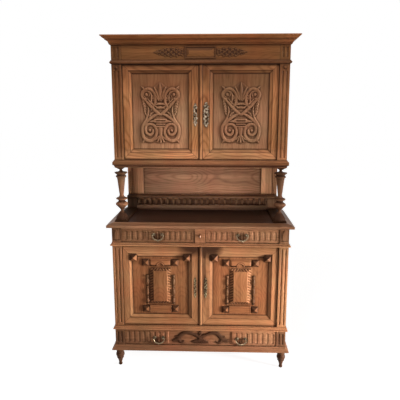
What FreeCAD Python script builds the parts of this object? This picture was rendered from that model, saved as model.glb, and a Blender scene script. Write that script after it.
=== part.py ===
import FreeCAD, Part
import math
import os

V = FreeCAD.Vector

# Two-body oak buffet: a lower cupboard with three drawers, an open niche with
# turned columns and an upper cupboard. Sizes in millimetres, +Z up, the front
# towards -Y, the origin on the floor under the middle of the overall box.

# Heights of the rows, from the floor up
FOOT_HEIGHT = 139.0
PLINTH_HEIGHT = 35.0
BASE_DRAWER_ROW = 112.0
BASE_RAIL = 34.0
LOWER_DOOR_ROW = 570.0
DRAWER_RAIL = 26.0
DRAWER_ROW = 92.0
TOP_RAIL = 11.0
COUNTER_THICKNESS = 31.0
NICHE_HEIGHT = 364.0
UPPER_BASE = 50.0
UPPER_DOOR_ROW = 605.0
ARCHITRAVE = 23.0
FRIEZE_HEIGHT = 94.0
CORNICE_HEIGHT = 54.0

# Plan sizes
LOWER_WIDTH = 1180.0
UPPER_WIDTH = 1126.0
LOWER_DEPTH = 510.0
UPPER_SETBACK = 40.0
COUNTER_OVERHANG = 30.0
COUNTER_EDGE = 46.0
COUNTER_LIP = 17.0
CORNICE_OVERHANG = 55.0
PLINTH_OVERHANG = 23.0
BAND_OVERHANG = 12.0
UPPER_BASE_OVERHANG = 15.0
ARCHITRAVE_OVERHANG = 10.0

# Boards and posts
LOWER_POST = 62.0
UPPER_POST = 63.0
POST_DEPTH = 44.0
SIDE_THICKNESS = 22.0
SIDE_STILE = 60.0
SIDE_RAIL = 70.0
SHELF_THICKNESS = 18.0
BACK_THICKNESS = 12.0
FRIEZE_THICKNESS = 22.0
PANEL_THICKNESS = 6.5
PANEL_TONGUE = 9.0
SHELF_SETBACK = 20.0
LOWER_SHELF_RISE = 280.0
UPPER_SHELF_RISE = 300.0
BACK_BOARDS = 4

# Doors
DOOR_THICKNESS = 22.0
DOOR_RECESS = 8.0
DOOR_GAP = 2.0
PANEL_RECESS = 13.0
MOULD_SHARE = 0.33
MOULD_DEPTH = 12.0
MEETING_OFFSET = -8.0
MEETING_STRIP = 22.0
STRIP_RISE = 6.0
UPPER_OUTER_STILE = 60.0
UPPER_INNER_STILE = 68.0
UPPER_DOOR_TOP = 55.0
UPPER_DOOR_BOTTOM = 69.0
LOWER_OUTER_STILE = 64.0
LOWER_INNER_STILE = 72.0
LOWER_DOOR_TOP = 76.0
LOWER_DOOR_BOTTOM = 75.0
PIN_RADIUS = 3.0
PIN_CLEARANCE = 0.05
PIN_REACH = 15.0
PIN_END_CLEARANCE = 1.0
PIN_INSET = 14.0
PIN_SET = 6.0

# Drawers and their pulls
DRAWER_RECESS = 4.0
DRAWER_FRONT = 22.0
DRAWER_LENGTH = 450.0
DRAWER_WALL = 12.0
DRAWER_BOTTOM = 6.0
DRAWER_HEADROOM = 14.0
RUN_CLEARANCE = 0.3
GUIDE_CLEARANCE = 1.0
RUNNER_WIDTH = 60.0
RUNNER_HEIGHT = 16.0
MUNTIN_WIDTH = 68.0
FLUTE_PITCH = 36.0
FLUTE_WIDTH = 20.0
FLUTE_DEPTH = 4.0
FLUTE_MARGIN = 14.0
BASE_RECESS_HALF = 222.0
BASE_RECESS_DEPTH = 6.0
BASE_PULL_X = 286.0
PULL_SPREAD = 56.0
PULL_REACH = 13.0
ROSETTE_RADIUS = 11.0
ROSETTE_THICKNESS = 3.0
STUD_RADIUS = 4.0
EYE_RADIUS = 6.0
BAIL_ROD = 3.0
BAIL_KNUCKLE = 3.6
BAIL_GAP = 0.4
BAIL_PIN = 1.8
BAIL_CLEARANCE = 0.06

# Niche
NICHE_BACK = 25.0
NICHE_STILE = 117.0
NICHE_TOP = 57.0
NICHE_BOTTOM = 110.0
NICHE_RECESS = 8.0
STRIP_WIDTH = 31.0
STRIP_PROUD = 6.0
BAR_WIDTH = 86.0
BAR_HEIGHT = 12.0
BAR_ROUND = 5.0
COLUMN_SET = 33.0
CAP_HEIGHT = 16.0
CAP_NECK = 9.0
GALLERY_DEPTH = 70.0
GALLERY_SHELF = 18.0
GALLERY_SPINDLE = 51.0
GALLERY_RAIL = 23.0
GALLERY_STEP = 16.0
SPINDLE_PITCH = 43.0
SPINDLE_END = 14.0
SPINDLE_RADIUS = 12.5

# Feet, locks and plates
FOOT_INSET = 21.0
FOOT_SET = 35.0
LOCK_WIDTH = 60.0
LOCK_HEIGHT = 70.0
LOCK_DEPTH = 14.0
BOLT_HEIGHT = 16.0
BOLT_THICKNESS = 6.0
BOLT_LENGTH = 40.0
BOLT_CLEARANCE = 0.3
BOLT_EDGE = 2.0
PLATE_THICKNESS = 2.5
UPPER_KEY_RISE = 291.0
UPPER_PLATE_LENGTH = 158.0
UPPER_PLATE_WIDTH = 34.0
LOWER_KEY_RISE = 276.0
LOWER_PLATE_LENGTH = 145.0
LOWER_PLATE_WIDTH = 22.0

# Carved and applied ornaments
CARVING_WIDTH = 250.0
CARVING_HEIGHT = 382.0
CARVING_RISE = 8.0
CARVING_BAND = 13.0
CORNER_STUD = 56.0
CORNER_STUD_X = 10.0
CORNER_STUD_Z = 7.0
STUD_RISE = 16.0
CARTOUCHE_STUD = 52.0
CARTOUCHE_X = 100.0
CARTOUCHE_TOP = 41.0
CARTOUCHE_LOW = 39.0
CARTOUCHE_RISE = 8.0
LEAF_HALF = 80.0
LEAF_SIDE = 34.0
LEAF_END = 24.0
LEAF_GAP = 10.0
FIELD_RISE = 12.0
SPLIT_RADIUS = 10.0
SPLIT_TOP_GAP = 55.0
ARCH_HALF = 30.0
ARCH_HEIGHT = 37.0
ARCH_BAND = 9.0
SHELL_RISE = 5.0
TABLET_HALF = 97.0
TABLET_RISE = 5.0
TABLET_MARGIN = 10.0
SPRAY_GAP = 5.0
SPRAY_LENGTH = 193.0
SPRAY_WIDTH = 56.0
BLOCK_LEAF_WIDTH = 24.0
BLOCK_LEAF_RISE = 4.0
BOSS_RADIUS = 9.0
BOSS_RISE = 11.0
GARLAND_RADIUS = 62.0
GARLAND_BAND = 18.0
GARLAND_X = 100.0
GARLAND_LEAF = 85.0
GARLAND_LEAF_WIDTH = 34.0
FLEUR_HEIGHT = 64.0
FLEUR_WIDTH = 44.0
PULL_RISE = 8.0
BASE_PULL_DROP = 4.0

# Levels and planes that follow from the sizes above
Z_PLINTH = FOOT_HEIGHT
Z_BASE_DRAWER = Z_PLINTH + PLINTH_HEIGHT
Z_BASE_RAIL = Z_BASE_DRAWER + BASE_DRAWER_ROW
Z_LOWER_DOOR = Z_BASE_RAIL + BASE_RAIL
Z_DRAWER_RAIL = Z_LOWER_DOOR + LOWER_DOOR_ROW
Z_DRAWER = Z_DRAWER_RAIL + DRAWER_RAIL
Z_TOP_RAIL = Z_DRAWER + DRAWER_ROW
Z_COUNTER = Z_TOP_RAIL + TOP_RAIL
Z_NICHE = Z_COUNTER + COUNTER_THICKNESS
Z_UPPER = Z_NICHE + NICHE_HEIGHT
Z_UPPER_DOOR = Z_UPPER + UPPER_BASE
Z_ARCHITRAVE = Z_UPPER_DOOR + UPPER_DOOR_ROW
Z_FRIEZE = Z_ARCHITRAVE + ARCHITRAVE
Z_CORNICE = Z_FRIEZE + FRIEZE_HEIGHT
Z_TOP = Z_CORNICE + CORNICE_HEIGHT
Z_FLOOR = Z_PLINTH + SHELF_THICKNESS
BACK = (LOWER_DEPTH + COUNTER_OVERHANG) / 2
LOWER_FRONT = BACK - LOWER_DEPTH
UPPER_FRONT = LOWER_FRONT + UPPER_SETBACK
LOWER_HALF = LOWER_WIDTH / 2
UPPER_HALF = UPPER_WIDTH / 2
LOWER_BAY = LOWER_HALF - LOWER_POST
UPPER_BAY = UPPER_HALF - UPPER_POST
LOWER_INSIDE = LOWER_HALF - SIDE_THICKNESS
UPPER_INSIDE = UPPER_HALF - SIDE_THICKNESS
NICHE_FACE = BACK - NICHE_BACK
BOARD_FACE = BACK - BACK_THICKNESS
COLUMN_X = UPPER_HALF - COLUMN_SET
COLUMN_Y = UPPER_FRONT + COLUMN_SET
DRAWER_FACE = LOWER_FRONT + DRAWER_RECESS
LOWER_DOOR_FACE = LOWER_FRONT + DOOR_RECESS
UPPER_DOOR_FACE = UPPER_FRONT + DOOR_RECESS
PULL_X = (LOWER_BAY + MUNTIN_WIDTH / 2) / 2
PULL_Z = (Z_DRAWER + Z_TOP_RAIL) / 2 + PULL_RISE
BASE_PULL_Z = (Z_BASE_DRAWER + Z_BASE_RAIL) / 2 - BASE_PULL_DROP
BAIL_RADIUS = PULL_SPREAD / 2 + EYE_RADIUS + BAIL_GAP + BAIL_KNUCKLE


def box(x0, x1, y0, y1, z0, z1):
    return Part.makeBox(x1 - x0, y1 - y0, z1 - z0, V(x0, y0, z0))


def face(points, place):
    # A step of two numbers is a line to that point; four are an arc through the first pair.
    edges = []
    last = place(*points[0])
    for step in points[1:] + points[:1]:
        end = place(*step[-2:])
        if len(step) == 4:
            edges.append(Part.Arc(last, place(*step[:2]), end).toShape())
        elif last.distanceToPoint(end) > 1e-6:
            edges.append(Part.LineSegment(last, end).toShape())
        last = end
    return Part.Face(Part.Wire(edges))


def prism(points, place, vector):
    return face(points, place).extrude(vector)


def lathe(points, x, y, angle=360.0):
    outline = [(0.0, points[0][-1])] + points + [(0.0, points[-1][-1])]
    turned = face(outline, lambda r, z: V(x + r, y, z))
    return turned.revolve(V(x, y, 0), V(0, 0, 1), angle)


def mirrored(solids):
    return solids + [s.mirror(V(0, 0, 0), V(1, 0, 0)) for s in solids]


def fused(solids):
    return solids[0].fuse(solids[1:]).removeSplitter().Solids


def frustum(x, z, half_x, half_z, top_x, top_z, base, rise):
    # A four-sided block standing on a face of constant Y, its top towards -Y.
    block = Part.makeWedge(x - half_x, 0.0, z - half_z, z - top_z, x - top_x,
                           x + half_x, rise, z + half_z, z + top_z, x + top_x)
    block = block.mirror(V(0, 0, 0), V(0, 1, 0))
    block.translate(V(0, base, 0))
    return block


def lens(x0, z0, x1, z1, width, base, rise):
    # A leaf from root to tip whose two edges are arcs, standing on a face of constant Y.
    length = math.hypot(x1 - x0, z1 - z0)
    side_x = (z1 - z0) / length * width / 2
    side_z = (x0 - x1) / length * width / 2
    mid_x = (x0 + x1) / 2
    mid_z = (z0 + z1) / 2
    outline = [(x0, z0), (mid_x + side_x, mid_z + side_z, x1, z1), (mid_x - side_x, mid_z - side_z, x0, z0)]
    return prism(outline, lambda x, z: V(x, base, z), V(0, -rise, 0))


def moulding(points, half, front):
    # Profile of (projection, height) run along the front and both sides, mitred at the corners.
    reach = max(step[-2] for step in points)
    low = min(step[-1] for step in points)
    high = max(step[-1] for step in points)
    plan = [(-half, front), (half, front), (half + reach, front - reach), (-half - reach, front - reach)]
    run = prism(points, lambda out, z: V(-half - reach, front - out, z), V(2 * (half + reach), 0, 0))
    run = run.common(prism(plan, lambda x, y: V(x, y, low), V(0, 0, high - low)))
    plan = [(half, front), (half + reach, front - reach), (half + reach, BACK), (half, BACK)]
    side = prism(points, lambda out, z: V(half + out, front - reach, z), V(0, BACK - front + reach, 0))
    side = side.common(prism(plan, lambda x, y: V(x, y, low), V(0, 0, high - low)))
    return run.Solids + mirrored(side.Solids)


def groove(x, front, z0, z1, width, depth):
    # A stopped flute: a cylinder sunk to the given width and depth, with rounded ends.
    radius = (width * width / 4 + depth * depth) / (2 * depth)
    axis = front - radius + depth
    tip = math.sqrt(radius * radius - (radius - depth) ** 2)
    rod = Part.makeCylinder(radius, z1 - z0 - 2 * tip, V(x, axis, z0 + tip))
    low = Part.makeSphere(radius, V(x, axis, z0 + tip))
    high = Part.makeSphere(radius, V(x, axis, z1 - tip))
    return rod.fuse([low, high])


def framed(x0, x1, z0, z1, front, left, right, low, high, panel):
    # Mitred frame whose inner edge carries the moulding, grooved for the panel.
    def member(width, place, run, corners):
        flat = width * (1 - MOULD_SHARE)
        section = [(0.0, 0.0), (flat, 0.0), (flat, 2.0),
                   ((flat + width) / 2, MOULD_DEPTH * 0.62, width, MOULD_DEPTH),
                   (width, DOOR_THICKNESS), (0.0, DOOR_THICKNESS)]
        bar = prism(section, place, run)
        trim = prism(corners, lambda x, z: V(x, front, z), V(0, DOOR_THICKNESS, 0))
        return bar.common(trim).cut(panel).Solids[0]

    inner = (x0 + left, x1 - right, z0 + low, z1 - high)
    up = V(0, 0, z1 - z0)
    across = V(x1 - x0, 0, 0)
    return [
        member(left, lambda u, d: V(x0 + u, front + d, z0), up,
               [(x0, z0), (inner[0], inner[2]), (inner[0], inner[3]), (x0, z1)]),
        member(right, lambda u, d: V(x1 - u, front + d, z0), up,
               [(x1, z0), (inner[1], inner[2]), (inner[1], inner[3]), (x1, z1)]),
        member(low, lambda u, d: V(x0, front + d, z0 + u), across,
               [(x0, z0), (x1, z0), (inner[1], inner[2]), (inner[0], inner[2])]),
        member(high, lambda u, d: V(x0, front + d, z1 - u), across,
               [(x0, z1), (x1, z1), (inner[1], inner[3]), (inner[0], inner[3])]),
    ]


def pin_axis(bay, front, side):
    return V(side * (bay - DOOR_GAP - PIN_INSET), front + PIN_SET, 0)


def pins(bay, front, z0, z1, radius, reach):
    # Upright pins of both doors of a bay, above and below its opening.
    out = []
    length = PIN_REACH + DOOR_GAP + reach
    for side in (-1, 1):
        at = pin_axis(bay, front, side)
        out.append(Part.makeCylinder(radius, length, at + V(0, 0, z0 - PIN_REACH)))
        out.append(Part.makeCylinder(radius, length, at + V(0, 0, z1 - DOOR_GAP - reach)))
    return out


def save(node, solids):
    Part.makeCompound(solids).exportStep("parts/" + node + ".step")


os.makedirs("parts", exist_ok=True)

# Feet: turned, with a ball toe, a cone, a ring and a bulb under the plinth
foot = [(9.0, 0.0), (13.5, 7.0, 10.0, 16.0), (11.0, 20.0), (15.0, 38.0, 22.0, 54.0), (24.0, 56.0),
        (24.0, 61.0), (22.0, 63.0), (30.0, 80.0, 23.0, 100.0), (26.0, 104.0), (26.0, FOOT_HEIGHT)]
foot_x = LOWER_HALF - FOOT_INSET
save("feet", mirrored([lathe(foot, foot_x, LOWER_FRONT + FOOT_SET), lathe(foot, foot_x, BACK - FOOT_SET)]))

# Plinth moulding: a cove that spreads towards the floor
spread = PLINTH_OVERHANG
plinth = [(0.0, Z_PLINTH), (spread, Z_PLINTH), (spread, Z_PLINTH + 8.0), (spread - 2.0, Z_PLINTH + 9.0),
          (spread * 0.35, Z_PLINTH + PLINTH_HEIGHT * 0.52, 3.0, Z_BASE_DRAWER), (0.0, Z_BASE_DRAWER)]
save("plinth_moulding", moulding(plinth, LOWER_HALF, LOWER_FRONT))

# Lower body: boards, posts, rails, sides and back
lower_inner = LOWER_FRONT + POST_DEPTH


def shelf(inside, front, z):
    return box(-inside, inside, front, BOARD_FACE, z, z + SHELF_THICKNESS)


save("lower_shelves", [
    box(-LOWER_HALF, LOWER_HALF, LOWER_FRONT, BACK, Z_PLINTH, Z_FLOOR),
    shelf(LOWER_INSIDE, lower_inner, Z_LOWER_DOOR - SHELF_THICKNESS),
    shelf(LOWER_INSIDE, lower_inner + SHELF_SETBACK, Z_LOWER_DOOR + LOWER_SHELF_RISE),
])


def side_walls(half, y0, z0, z1):
    # Frame and panel of one side: stiles, rails and the panel in their grooves.
    x0 = half - SIDE_THICKNESS
    panel_x = half - (SIDE_THICKNESS + PANEL_THICKNESS) / 2
    ya = y0 + SIDE_STILE
    yb = BACK - SIDE_STILE
    panel = box(panel_x, panel_x + PANEL_THICKNESS, ya - PANEL_TONGUE, yb + PANEL_TONGUE,
                z0 + SIDE_RAIL - PANEL_TONGUE, z1 - SIDE_RAIL + PANEL_TONGUE)
    members = [
        box(x0, half, y0, ya, z0, z1),
        box(x0, half, yb, BACK, z0, z1),
        box(x0, half, ya, yb, z0, z0 + SIDE_RAIL),
        box(x0, half, ya, yb, z1 - SIDE_RAIL, z1),
    ]
    return mirrored([m.cut(panel) for m in members]), mirrored([panel])


frames, panels = side_walls(LOWER_HALF, lower_inner, Z_FLOOR, Z_COUNTER)
save("lower_side_frames", frames)
save("lower_side_panels", panels)


def post(bay, half, front, z0, z1, fields):
    # Corner post with a pair of stopped flutes in each field of the front face.
    body = box(bay, half, front, front + POST_DEPTH, z0, z1)
    mid = (bay + half) / 2
    width = (half - bay) / 5
    cuts = [groove(mid + dx, front, a, b, width, width / 3) for a, b in fields for dx in (-width, width)]
    return mirrored(body.cut(cuts).Solids)


lower_mid = (LOWER_BAY + LOWER_HALF) / 2
block_leaf = lens(lower_mid, Z_DRAWER + FLUTE_MARGIN / 2, lower_mid, Z_TOP_RAIL - FLUTE_MARGIN / 2,
                  BLOCK_LEAF_WIDTH, LOWER_FRONT, BLOCK_LEAF_RISE)
save("lower_pilasters", post(LOWER_BAY, LOWER_HALF, LOWER_FRONT, Z_FLOOR, Z_COUNTER, [
    (Z_BASE_DRAWER + FLUTE_MARGIN, Z_BASE_RAIL - FLUTE_MARGIN),
    (Z_LOWER_DOOR + FLUTE_MARGIN, Z_DRAWER_RAIL - FLUTE_MARGIN)]) + mirrored([block_leaf]))

lower_pins = pins(LOWER_BAY, LOWER_DOOR_FACE, Z_LOWER_DOOR, Z_DRAWER_RAIL, PIN_RADIUS, PIN_REACH)
upper_pins = pins(UPPER_BAY, UPPER_DOOR_FACE, Z_UPPER_DOOR, Z_ARCHITRAVE, PIN_RADIUS, PIN_REACH)
save("door_pivot_pins", lower_pins + upper_pins)


def rail(bay, front, z0, z1):
    return box(-bay, bay, front, front + POST_DEPTH, z0, z1)


muntin = MUNTIN_WIDTH / 2
boss = [(BOSS_RADIUS, 0.0), (BOSS_RADIUS, BOSS_RISE * 0.3), (BOSS_RADIUS * 0.85, BOSS_RISE * 0.75,
        BOSS_RADIUS * 0.3, BOSS_RISE)]


def button(x, front, z):
    # A small turned boss standing on a face of constant Y.
    knob = lathe(boss, 0.0, 0.0)
    knob.rotate(V(0, 0, 0), V(1, 0, 0), 90)
    knob.translate(V(x, front, z))
    return knob


save("lower_front_rails", [
    rail(LOWER_BAY, LOWER_FRONT, Z_FLOOR, Z_BASE_DRAWER),
    rail(LOWER_BAY, LOWER_FRONT, Z_BASE_RAIL, Z_LOWER_DOOR).cut(lower_pins),
    rail(LOWER_BAY, LOWER_FRONT, Z_DRAWER_RAIL, Z_DRAWER).cut(lower_pins),
    rail(LOWER_BAY, LOWER_FRONT, Z_TOP_RAIL, Z_COUNTER),
    rail(muntin, LOWER_FRONT, Z_DRAWER, Z_TOP_RAIL),
    button(0.0, LOWER_FRONT, (Z_DRAWER + Z_TOP_RAIL) / 2),
])


def boards(inside, z0, z1):
    step = 2 * inside / BACK_BOARDS
    lefts = [-inside + i * step for i in range(BACK_BOARDS)]
    return [box(x, x + step, BOARD_FACE, BACK, z0, z1) for x in lefts]


save("lower_back_boards", boards(LOWER_INSIDE, Z_FLOOR, Z_COUNTER))

# Band mouldings under the doors and under the drawers, hollow above and full at the drip edge
bands = []
for z0, z1 in ((Z_BASE_RAIL + 3.0, Z_LOWER_DOOR - 5.0), (Z_DRAWER_RAIL + 1.0, Z_DRAWER - 1.0)):
    out = BAND_OVERHANG
    band = [(0.0, z0), (out - 5.0, z0), (out - 1.0, z0 + 2.0, out, z0 + 5.0), (out, z0 + 9.0),
            (out * 0.45, z0 + 11.0, 3.0, z1), (0.0, z1)]
    bands += moulding(band, LOWER_HALF, LOWER_FRONT)
save("band_mouldings", bands)

# Runners and guides of the drawers
run_z = Z_DRAWER + DOOR_GAP - RUN_CLEARANCE
base_run_z = Z_BASE_DRAWER + DOOR_GAP - RUN_CLEARANCE
guide_x = LOWER_BAY - DOOR_GAP + GUIDE_CLEARANCE
guide_top = Z_TOP_RAIL - DRAWER_HEADROOM
base_guide_top = Z_BASE_RAIL - DRAWER_HEADROOM
runner_x = LOWER_INSIDE - RUNNER_WIDTH
muntin_guide = muntin + DOOR_GAP - GUIDE_CLEARANCE
muntin_run = muntin + DOOR_GAP + DRAWER_WALL
save("drawer_runners", mirrored([
    box(runner_x, LOWER_INSIDE, lower_inner, BOARD_FACE, run_z - RUNNER_HEIGHT, run_z),
    box(guide_x, LOWER_INSIDE, lower_inner, BOARD_FACE, run_z, guide_top),
    box(runner_x, LOWER_INSIDE, lower_inner, BOARD_FACE, Z_FLOOR, base_run_z),
    box(guide_x, LOWER_INSIDE, lower_inner, BOARD_FACE, base_run_z, base_guide_top),
]) + [
    box(-muntin_run, muntin_run, lower_inner, BOARD_FACE, run_z - RUNNER_HEIGHT, run_z),
    box(-muntin_guide, muntin_guide, lower_inner, BOARD_FACE, run_z, guide_top),
])

# Counter: a board with a thumb-moulded edge on three sides
counter_half = LOWER_HALF + COUNTER_OVERHANG - COUNTER_EDGE
counter_front = LOWER_FRONT - COUNTER_OVERHANG + COUNTER_EDGE
lip = Z_COUNTER + COUNTER_LIP
edge = [(0.0, Z_COUNTER), (COUNTER_EDGE - 3.0, Z_COUNTER), (COUNTER_EDGE, Z_COUNTER + 3.0),
        (COUNTER_EDGE, lip), (COUNTER_EDGE - 4.0, lip + 1.0), (COUNTER_EDGE * 0.5, lip + 8.0, 4.0, Z_NICHE),
        (0.0, Z_NICHE)]
save("counter_top", [box(-counter_half, counter_half, counter_front, BACK, Z_COUNTER, Z_NICHE)]
     + moulding(edge, counter_half, counter_front))

# Niche: side bars, turned columns, panelled back and a spindle gallery
bar_end = COLUMN_Y - BAR_WIDTH / 2
bar_top = Z_NICHE + BAR_HEIGHT
bar = box(COLUMN_X - BAR_WIDTH / 2, COLUMN_X + BAR_WIDTH / 2, bar_end, NICHE_FACE, Z_NICHE, bar_top)
rims = [e for e in bar.Edges if e.BoundBox.ZMin > bar_top - 0.1 and e.BoundBox.YMin < NICHE_FACE - 0.1]
save("column_plinths", mirrored([bar.makeFillet(BAR_ROUND, rims)]))

z0 = bar_top
z1 = Z_UPPER - CAP_HEIGHT
column = [(43.0, z0), (43.0, z0 + 3.0), (34.0, z0 + 33.0, 9.0, z0 + 56.0), (8.0, z0 + 60.0),
          (18.0, z0 + 76.0, 37.0, z0 + 98.0), (37.0, z0 + 111.0, 28.0, z0 + 119.0), (27.0, z0 + 127.0),
          (28.0, z0 + 133.0, 36.0, z0 + 138.0), (36.0, z0 + 144.0), (22.0, z0 + 150.0, 13.0, z0 + 160.0),
          (14.0, z1 - 125.0), (17.0, z1 - 92.0, 25.0, z1 - 52.0), (34.0, z1 - 48.0), (34.0, z1 - 41.0),
          (28.0, z1 - 36.0, 36.0, z1 - 27.0), (42.0, z1 - 24.0), (42.0, z1 - 18.0),
          (20.0, z1 - 14.0, CAP_NECK, z1 - 6.0), (CAP_NECK, z1)]
cap_half = UPPER_POST / 2
cap = frustum(0.0, 0.0, cap_half, cap_half, CAP_NECK, CAP_NECK, 0.0, CAP_HEIGHT)
cap.rotate(V(0, 0, 0), V(1, 0, 0), 90)
cap.translate(V(COLUMN_X, COLUMN_Y, Z_UPPER))
save("columns", mirrored([lathe(column, COLUMN_X, COLUMN_Y), cap]))

stile_x = UPPER_HALF - NICHE_STILE
panel_top = Z_UPPER - NICHE_TOP
panel_low = Z_NICHE + NICHE_BOTTOM
field_y = NICHE_FACE + NICHE_RECESS
niche_panel = box(-stile_x - PANEL_TONGUE, stile_x + PANEL_TONGUE, field_y, field_y + PANEL_THICKNESS,
                  panel_low - PANEL_TONGUE, panel_top + PANEL_TONGUE)
strip_face = NICHE_FACE - STRIP_PROUD
strip = box(UPPER_HALF - STRIP_WIDTH, UPPER_HALF, strip_face, NICHE_FACE, bar_top, Z_UPPER)
strip_mid = UPPER_HALF - STRIP_WIDTH / 2
flute = STRIP_WIDTH / 4
strip = strip.cut([groove(strip_mid + dx, strip_face, bar_top + FLUTE_MARGIN, Z_UPPER - FLUTE_MARGIN,
                          flute, flute / 3) for dx in (-flute * 0.8, flute * 0.8)])
side_stile = box(stile_x, UPPER_HALF, NICHE_FACE, BACK, Z_NICHE, Z_UPPER).cut(niche_panel)
save("niche_back_frame", mirrored([side_stile, strip]) + [
    box(-stile_x, stile_x, NICHE_FACE, BACK, panel_top, Z_UPPER).cut(niche_panel),
    box(-stile_x, stile_x, NICHE_FACE, BACK, Z_NICHE, panel_low).cut(niche_panel),
])
save("niche_back_panel", [niche_panel])

gallery_half = COLUMN_X - BAR_WIDTH / 2
gallery_front = NICHE_FACE - GALLERY_DEPTH
z_step = Z_NICHE + GALLERY_STEP
z_rail = z_step + GALLERY_RAIL
z_shelf = z_rail + GALLERY_SPINDLE
z_top = z_shelf + GALLERY_SHELF
rail_back = gallery_front + 2 * SPINDLE_RADIUS
nose = [(gallery_front + 4.0, z_shelf),
        (gallery_front - 4.0, z_shelf + GALLERY_SHELF / 2, gallery_front + 4.0, z_top),
        (NICHE_FACE, z_top), (NICHE_FACE, z_shelf)]
save("gallery_rails", [
    prism(nose, lambda y, z: V(-gallery_half, y, z), V(2 * gallery_half, 0, 0)),
    box(-gallery_half, gallery_half, gallery_front, rail_back, z_step, z_rail),
    box(-gallery_half, gallery_half, gallery_front + 6.0, rail_back, Z_NICHE, z_step),
])
spindle_x = gallery_half - SPINDLE_END
count = round(2 * spindle_x / SPINDLE_PITCH)
step = 2 * spindle_x / count
thin = SPINDLE_RADIUS * 0.45
spindle = [(thin * 1.5, z_rail), (thin * 1.5, z_rail + 5.0), (thin, z_rail + 8.0),
           (SPINDLE_RADIUS * 0.9, z_rail + GALLERY_SPINDLE / 2, thin, z_shelf - 8.0),
           (thin * 1.5, z_shelf - 5.0), (thin * 1.5, z_shelf)]
first = lathe(spindle, -spindle_x, gallery_front + SPINDLE_RADIUS)
save("gallery_spindles", [first.translated(V(i * step, 0, 0)) for i in range(count + 1)])

# Upper body: boards, posts, rails, sides and back
upper_inner = UPPER_FRONT + POST_DEPTH
upper_floor = Z_UPPER + SHELF_THICKNESS
roof_z = Z_CORNICE - SHELF_THICKNESS
roof = shelf(UPPER_INSIDE, upper_inner, roof_z)
tongue = box(-UPPER_BAY, UPPER_BAY, UPPER_FRONT + FRIEZE_THICKNESS, upper_inner, roof_z, Z_CORNICE)
save("upper_shelves", [
    box(-UPPER_HALF, UPPER_HALF, UPPER_FRONT, BACK, Z_UPPER, upper_floor),
    shelf(UPPER_INSIDE, upper_inner + SHELF_SETBACK, Z_UPPER_DOOR + UPPER_SHELF_RISE),
] + fused([roof, tongue]))
frames, panels = side_walls(UPPER_HALF, upper_inner, upper_floor, Z_CORNICE)
save("upper_side_frames", frames)
save("upper_side_panels", panels)
block_button = button((UPPER_BAY + UPPER_HALF) / 2, UPPER_FRONT, Z_ARCHITRAVE - 1.5 * FLUTE_MARGIN)
save("upper_pilasters", post(UPPER_BAY, UPPER_HALF, UPPER_FRONT, upper_floor, Z_CORNICE, [
    (Z_UPPER_DOOR + FLUTE_MARGIN, Z_ARCHITRAVE - 3 * FLUTE_MARGIN),
    (Z_FRIEZE + FLUTE_MARGIN, Z_CORNICE - FLUTE_MARGIN)]) + mirrored([block_button]))
save("upper_front_rails", [
    rail(UPPER_BAY, UPPER_FRONT, upper_floor, Z_UPPER_DOOR).cut(upper_pins),
    rail(UPPER_BAY, UPPER_FRONT, Z_ARCHITRAVE, Z_FRIEZE).cut(upper_pins),
])
save("upper_back_boards", boards(UPPER_INSIDE, upper_floor, Z_CORNICE))
frieze_back = UPPER_FRONT + FRIEZE_THICKNESS
save("frieze", [box(-UPPER_BAY, UPPER_BAY, UPPER_FRONT, frieze_back, Z_FRIEZE, Z_CORNICE)])

out = UPPER_BASE_OVERHANG
z1 = Z_UPPER_DOOR - 1.0
base = [(0.0, Z_UPPER), (2.0, Z_UPPER), (out * 0.4, Z_UPPER + 14.0, out - 4.0, Z_UPPER + 17.0),
        (out - 2.0, Z_UPPER + 17.0), (out, Z_UPPER + 29.0, 5.0, z1 - 4.0), (5.0, z1), (0.0, z1)]
save("upper_base_moulding", moulding(base, UPPER_HALF, UPPER_FRONT))

out = ARCHITRAVE_OVERHANG
z0 = Z_ARCHITRAVE + 2.0
bead = [(0.0, z0), (4.0, z0), (out - 2.0, z0 + 3.0, out, z0 + 9.0), (out, z0 + 13.0), (out - 5.0, z0 + 15.0),
        (4.0, Z_FRIEZE), (0.0, Z_FRIEZE)]
save("architrave_moulding", moulding(bead, UPPER_HALF, UPPER_FRONT))

out = CORNICE_OVERHANG
z0 = Z_CORNICE
crown = [(0.0, z0), (4.0, z0), (9.0, z0 + 3.0, 9.0, z0 + 9.0), (13.0, z0 + 10.0), (13.0, z0 + 16.0),
         (out * 0.36, z0 + 24.0, out * 0.5, z0 + 28.0), (out * 0.56, z0 + 28.0), (out * 0.56, z0 + 31.0),
         (out * 0.72, z0 + 36.0, out - 4.0, Z_TOP - 8.0), (out, Z_TOP - 6.0), (out, Z_TOP), (0.0, Z_TOP)]
save("cornice", moulding(crown, UPPER_HALF, UPPER_FRONT))

# Frieze ornaments: a raised tablet with a bevelled field and two leaf sprays
frieze_mid = (Z_FRIEZE + Z_CORNICE) / 2
tablet_face = UPPER_FRONT - TABLET_RISE
tablet_z = FRIEZE_HEIGHT / 2 - TABLET_MARGIN
tablet = box(-TABLET_HALF, TABLET_HALF, tablet_face, UPPER_FRONT, frieze_mid - tablet_z,
             frieze_mid + tablet_z)
pillow_x = TABLET_HALF - TABLET_MARGIN
pillow_z = tablet_z - TABLET_MARGIN
pillow = frustum(0.0, frieze_mid, pillow_x, pillow_z, pillow_x - TABLET_MARGIN, pillow_z - TABLET_MARGIN,
                 tablet_face, TABLET_RISE)
spray_x = TABLET_HALF + SPRAY_GAP
spray = lens(spray_x, frieze_mid, spray_x + SPRAY_LENGTH, frieze_mid, SPRAY_WIDTH, UPPER_FRONT, TABLET_RISE)
save("frieze_ornaments", [tablet, pillow] + mirrored([spray]))


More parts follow.
